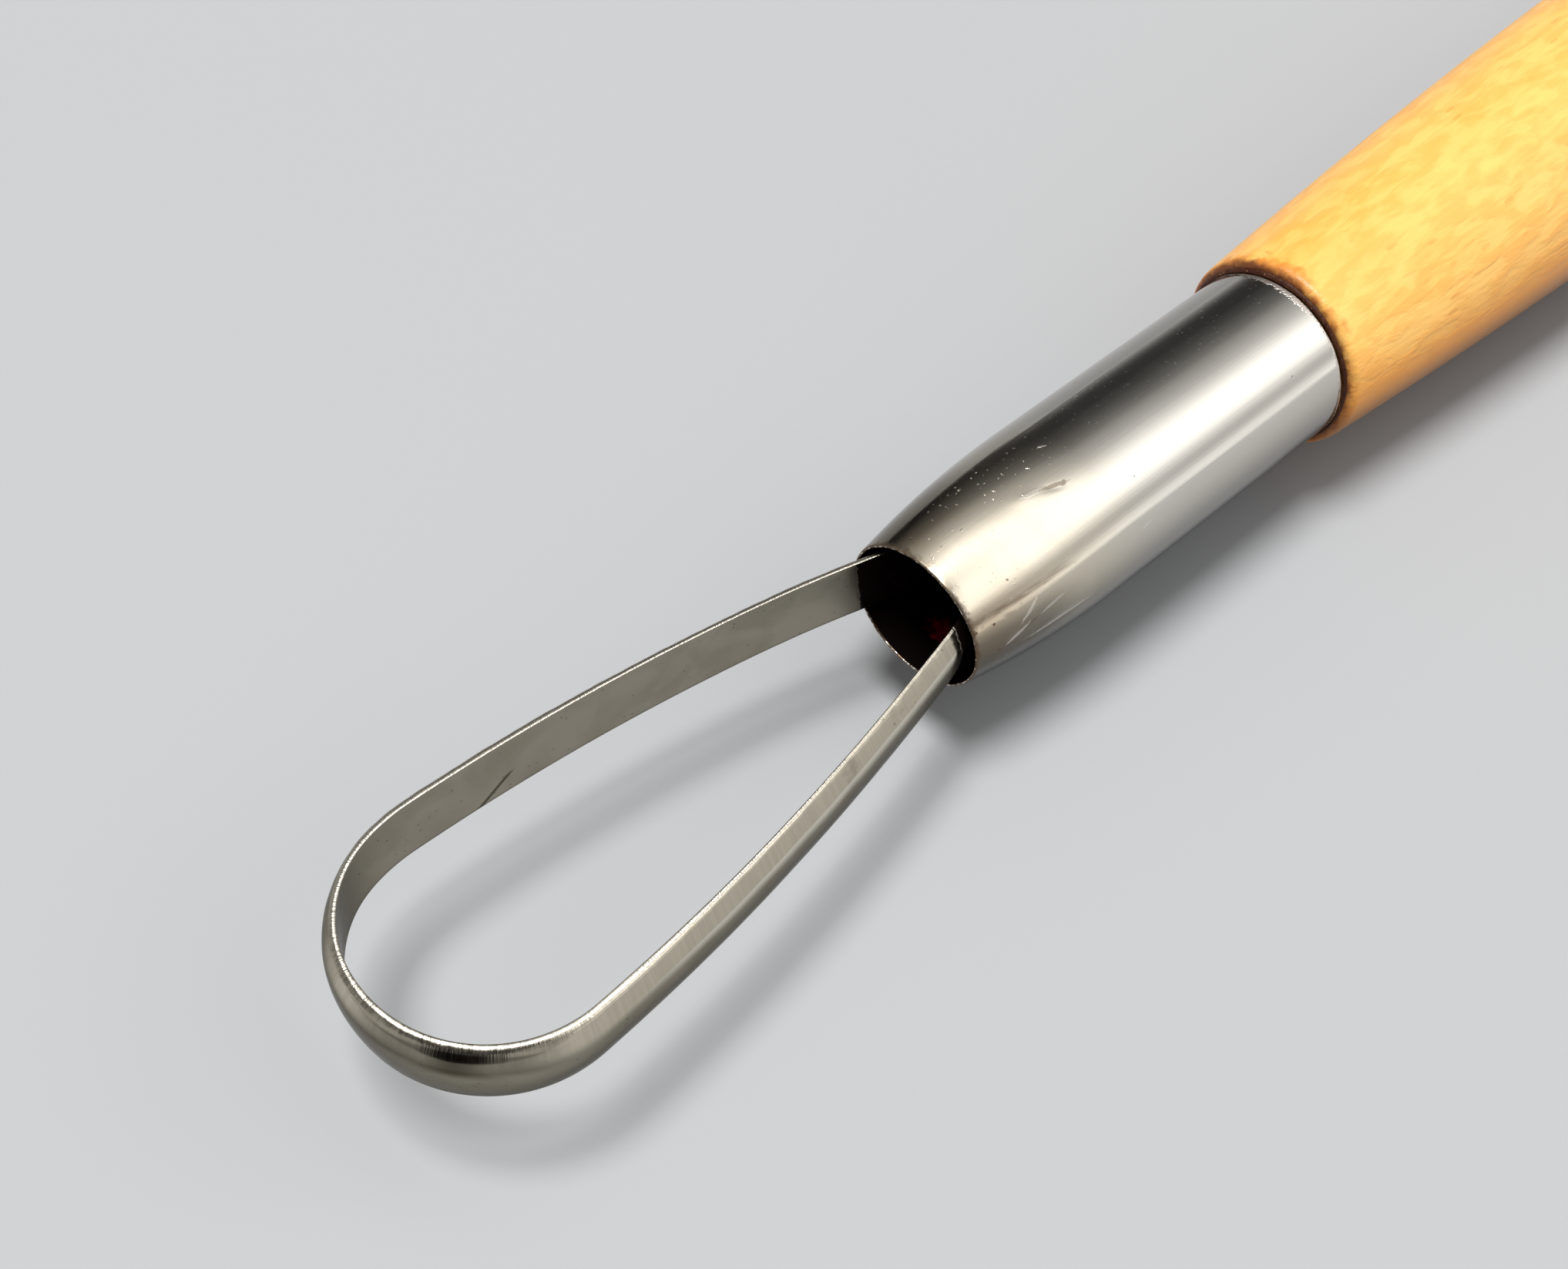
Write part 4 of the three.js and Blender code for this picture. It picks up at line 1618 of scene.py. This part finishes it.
@dataclass(frozen=True)
class Studio:
    """A pale floor, a lamp overhead and a dim room round them with a large bright patch on the -Y side.

    Attributes:
        floor_colour: Colour of the floor.
        backdrop: Colour that the camera sees above the floor.
        lamp_strength: Strength of the lamp, in watts per square metre.
        lamp_spread: How wide the lamp looks from the tool, in degrees.
        lamp_lean: Angles of the lamp from straight up towards -X and +Y, in degrees.
        patch: Brightness by the angle round the tool's axis, from straight up towards +Y.
        lean: X of a direction from which the patch starts to lean, degrees per unit of X, and the most.
        low_room: Brightness of the rest of the room near the horizon.
        high_room: Brightness of the rest of the room overhead.
        dark: Brightness of a dark shape near the horizon, in the quarter between -X and -Y.
    """

    floor_colour: Colour = (0.385, 0.391, 0.397)
    backdrop: Colour = (0.80, 0.81, 0.82)
    lamp_strength: float = 3.55
    lamp_spread: float = 22.0
    lamp_lean: Span = (9.0, 5.5)
    patch: tuple[Span, ...] = (
        (-180, 0.4), (-92, 0.8), (-87, 1.25), (-80, 0.95), (-73, 0.62), (-66, 0.66), (-58, 1.05),
        (-50, 1.6), (-40, 1.8), (-29, 1.8), (-20, 1.35), (-15, 1.1), (-8, 0.8), (-1, 0.6), (6, 0.48),
        (14, 0.36), (21, 0.22), (28, 0.145), (42, 0.07), (57, 0.033), (72, 0.04), (82, 0.13), (88, 0.4),
        (180, 0.4),
    )
    lean: Place = (0.65, 85.0, 38.0)
    low_room: float = 0.42
    high_room: float = 0.08
    dark: float = 0.02

    def build(self) -> None:
        """Makes floor, lamp and room, and keeps colours as they are written."""
        self.build_floor()
        self.build_lamp()
        self.build_room()
        bpy.context.scene.view_settings.view_transform = "Standard"

    def build_floor(self) -> None:
        """Makes the floor, a large plain sheet."""
        side = 4.0
        mesh = bpy.data.meshes.new("floor")
        corners = [(-side, -side, 0), (side, -side, 0), (side, side, 0), (-side, side, 0)]
        mesh.from_pydata(corners, [], [(0, 1, 2, 3)])
        floor = bpy.data.objects.new("floor", mesh)
        bpy.context.collection.objects.link(floor)
        material = bpy.data.materials.new("floor")
        material.use_nodes = True
        looks = {"Base Color": self.floor_colour, "Roughness": 0.7, "Specular IOR Level": 0.2}
        NodeSheet(material.node_tree).dress(material.node_tree.nodes["Principled BSDF"], looks)
        mesh.materials.append(material)

    def build_lamp(self) -> None:
        """Makes the lamp, whose light comes from one direction and is a little blurred by its spread."""
        data = bpy.data.lights.new("overhead_lamp", "SUN")
        data.angle = math.radians(self.lamp_spread)
        data.energy = self.lamp_strength
        lamp = bpy.data.objects.new("overhead_lamp", data)
        towards_x, towards_y = (math.radians(angle) for angle in self.lamp_lean)
        lamp.rotation_euler = (-towards_y, -towards_x, 0)
        bpy.context.collection.objects.link(lamp)

    def build_room(self) -> None:
        """Makes the world, a brightness by direction.

        The patch fills the directions with X above 0, and its upper edge leans more the nearer they are to
        the YZ plane. The camera sees a plain pale backdrop in its place.
        """
        world = bpy.data.worlds.new("room")
        world.use_nodes = True
        bpy.context.scene.world = world
        sheet = NodeSheet(world.node_tree)
        x, y, z = sheet.split(sheet.add("TexCoord").outputs["Generated"])
        angle = sheet.degrees(y, z)
        start, rate, most = self.lean
        lean = sheet.math("MINIMUM", sheet.math("MAXIMUM", (start - x) * rate, 0.0), most)
        patch = self.by_angle(sheet, angle - lean * angle.step(-40.0, -10.0))
        inside = x.step(0.0, 0.15) * x.step(0.72, 0.85, 1.0, 0.0)
        bright = sheet.blend(inside, z.step(0.5, 0.8, self.low_room, self.high_room), patch)
        shape = sheet.degrees(-1.0 * y, -1.0 * x).between(15.0, 52.0, 6.0) * z.step(0.64, 0.76, 1.0, 0.0)
        bright = sheet.blend(shape, bright, self.dark)
        seen = sheet.mix(sheet.add("LightPath").outputs["Is Camera Ray"], bright, self.backdrop)
        sheet.feed(world.node_tree.nodes["Background"].inputs["Color"], seen)

    def by_angle(self, sheet: NodeSheet, angle: Value) -> Value:
        """The patch's brightness at an angle in degrees."""
        span = {"Value": angle, "From Min": -180.0, "From Max": 180.0}
        ramp = sheet.add("ValToRGB", {0: sheet.value("MapRange", span)})
        peak = max(bright for _, bright in self.patch)
        elements = ramp.color_ramp.elements
        elements.remove(elements[-1])
        for k, (degrees, bright) in enumerate(self.patch):
            at = (degrees + 180) / 360
            element = elements[0] if k == 0 else elements.new(at)
            element.position = at
            element.color = (bright / peak, bright / peak, bright / peak, 1)
        return Value(sheet, ramp.outputs[0]) * peak


@dataclass
class RibbonTool:
    """The whole tool: builds each piece and dresses it.

    Attributes:
        finishes: A material for each slot.
        mouth: Distance of the mouths from the middle, in mm.
        axis_height: Height of the handle's axis, in mm.
    """

    finishes: dict[Slot, bpy.types.Material]
    mouth: float = field(init=False)
    axis_height: float = field(init=False)

    def __post_init__(self) -> None:
        """Takes the mouth's place and the axis's height from the front ferrule."""
        low, high = box_mm("front_ferrule")
        self.mouth = -low.x
        self.axis_height = (low.z + high.z) / 2

    def add_piece(self, end: End, name: str, slot: Slot, points: Array, **options: object) -> None:
        """Makes one piece of an end and dresses it."""
        node = end.node(name)
        placed = place_in_tool(points, end, self.mouth, self.axis_height)
        piece = add_surface(f"{node}_surface", placed, **options)
        finish_piece(piece, node, self.finishes[slot])

    def add_end(self, ferrule: Ferrule, loop: RibbonLoop) -> None:
        """Makes the pieces of one end."""
        end = ferrule.end
        tube, strip = ferrule.surface(), ferrule.strip()
        self.add_piece(end, "ferrule", Slot.NICKEL, tube, ring=True, strip=strip, sharp=60)
        points, along, sides = loop.surface()
        self.add_piece(end, "ribbon_loop", Slot.STEEL, points, strip=(along, sides), sharp=35)
        plug = ResinPlug.from_frame(end, self.mouth)
        self.add_piece(end, "resin_plug", Slot.RESIN, plug.surface())
        bead = GlueBead.from_frame(end, self.mouth, ferrule)
        self.add_piece(end, "glue_bead", Slot.GLUE, bead.surface(), ring=True)

    def add_handle(self, handle: Handle) -> None:
        """Makes the handle."""
        points = handle.surface() + [0, 0, self.axis_height]
        piece = add_surface("handle_surface", points)
        finish_piece(piece, "handle", self.finishes[Slot.WOOD])


def front_loop(mouth: float) -> RibbonLoop:
    """The pear-shaped loop, whose legs were bent by hand and whose nose has been ground most."""
    return loop_of(
        End.FRONT, mouth, nose_flat=0, corner=5.12, leg=100, start=0.0,
        bow=Course((-34, -27, -20, -14, -9, 0, 3, 5, 7.5, 9, 12, 20, 27, 31, 35),
                   (0, -0.11, -0.09, -0.03, 0, 0.02, 0.06, 0, -0.13, -0.1, -0.03, 0.12, 0.21, 0.15, 0)),
        land=Course((-26, -20, -15, -9, -6, -4, -1, 3, 8, 20),
                    (0.11, 0.14, 0.2, 0.28, 0.25, 0.19, 0.23, 0.22, 0.24, 0.2)),
        thickness=Course((-27, -9, -5, -2, 1, 3, 5, 8, 14, 27),
                         (0.72, 0.72, 0.73, 0.72, 0.7, 0.62, 0.57, 0.59, 0.63, 0.7)),
        crest=Course((-25, -20, -12, -8, -5, -2, 1, 3, 5, 14, 20),
                     (0.66, 0.62, 0.58, 0.64, 1.07, 1.1, 0.9, 0.7, 0.6, 0.6, 0.5)),
    )


def rear_loop(mouth: float) -> RibbonLoop:
    """The square-nosed loop, which is less worn."""
    return loop_of(
        End.REAR, mouth, nose_flat=4.6, corner=2.6, leg=240, start=2.4,
        bow=Course((-30, -14, 0, 12, 30), (0, -0.04, 0, 0.05, 0)),
        land=Course((-24, -8, 0, 8, 24), (0.18, 0.27, 0.31, 0.26, 0.2)),
        thickness=Course((-24, -8, 0, 8, 24), (0.71, 0.7, 0.68, 0.71, 0.72)),
        crest=Course((-24, -8, 0, 8, 24), (0.55, 0.6, 0.75, 0.62, 0.5)),
    )


def loop_of(end: End, mouth: float, nose_flat: float, corner: float, leg: float,
            **grinding: object) -> RibbonLoop:
    """A loop whose reach and strip width are the solid's.

    Args:
        end: Which end.
        mouth: Distance of the mouth from the middle of the tool.
        nose_flat: Length of the straight across the nose.
        corner: Radius of its corners.
        leg: Radius of its legs.
        grinding: The loop's other values.

    Returns:
        The loop.
    """
    low, high = box_mm(end.node("ribbon_loop"))
    reach = max(abs(low.x), abs(high.x)) - mouth
    line = StripLine(reach, nose_flat, corner, leg, leg_gap=2.04, thickness=0.74)
    return RibbonLoop(end, line, width=high.z - low.z, **grinding)


FRONT_DENTS = (
    Dent(x=6.1, angle=-13, length=0.5, width=0.12, depth=0.016, turn=-22),
    Dent(x=4.9, angle=-8, length=0.6, width=0.25, depth=-0.012, turn=-12),
    Dent(x=4.5, angle=-85, length=1.3, width=0.14, depth=0.03, turn=3),
    Dent(x=2.3, angle=-68, length=0.75, width=0.11, depth=0.03, turn=-40),
    Dent(x=1.8, angle=-77, length=0.5, width=0.11, depth=0.03, turn=30),
)
REAR_DENTS = (
    Dent(x=4.8, angle=35, length=1.9, width=0.5, depth=0.06, turn=15),
    Dent(x=2.6, angle=150, length=0.9, width=0.3, depth=0.04, turn=-30),
)


def main() -> None:
    """Builds the finishes, the tool and the studio."""
    logging.basicConfig(level=logging.INFO, format="%(message)s")
    groups = SharedGroups()
    kinds = (LacqueredWood, DrawnNickel, GroundSteel, RedResin, BrownGlue)
    finishes = {finish.slot: finish.build() for finish in (kind(groups) for kind in kinds)}
    tool = RibbonTool(finishes)
    front = Ferrule.from_frame(End.FRONT, FRONT_DENTS)
    rear = Ferrule.from_frame(End.REAR, REAR_DENTS)
    tool.add_end(front, front_loop(tool.mouth))
    tool.add_end(rear, rear_loop(tool.mouth))
    tool.add_handle(Handle.from_frame(front, tool.mouth))
    PhotoCamera().build()
    Studio().build()


if __name__ == "__main__":
    main()
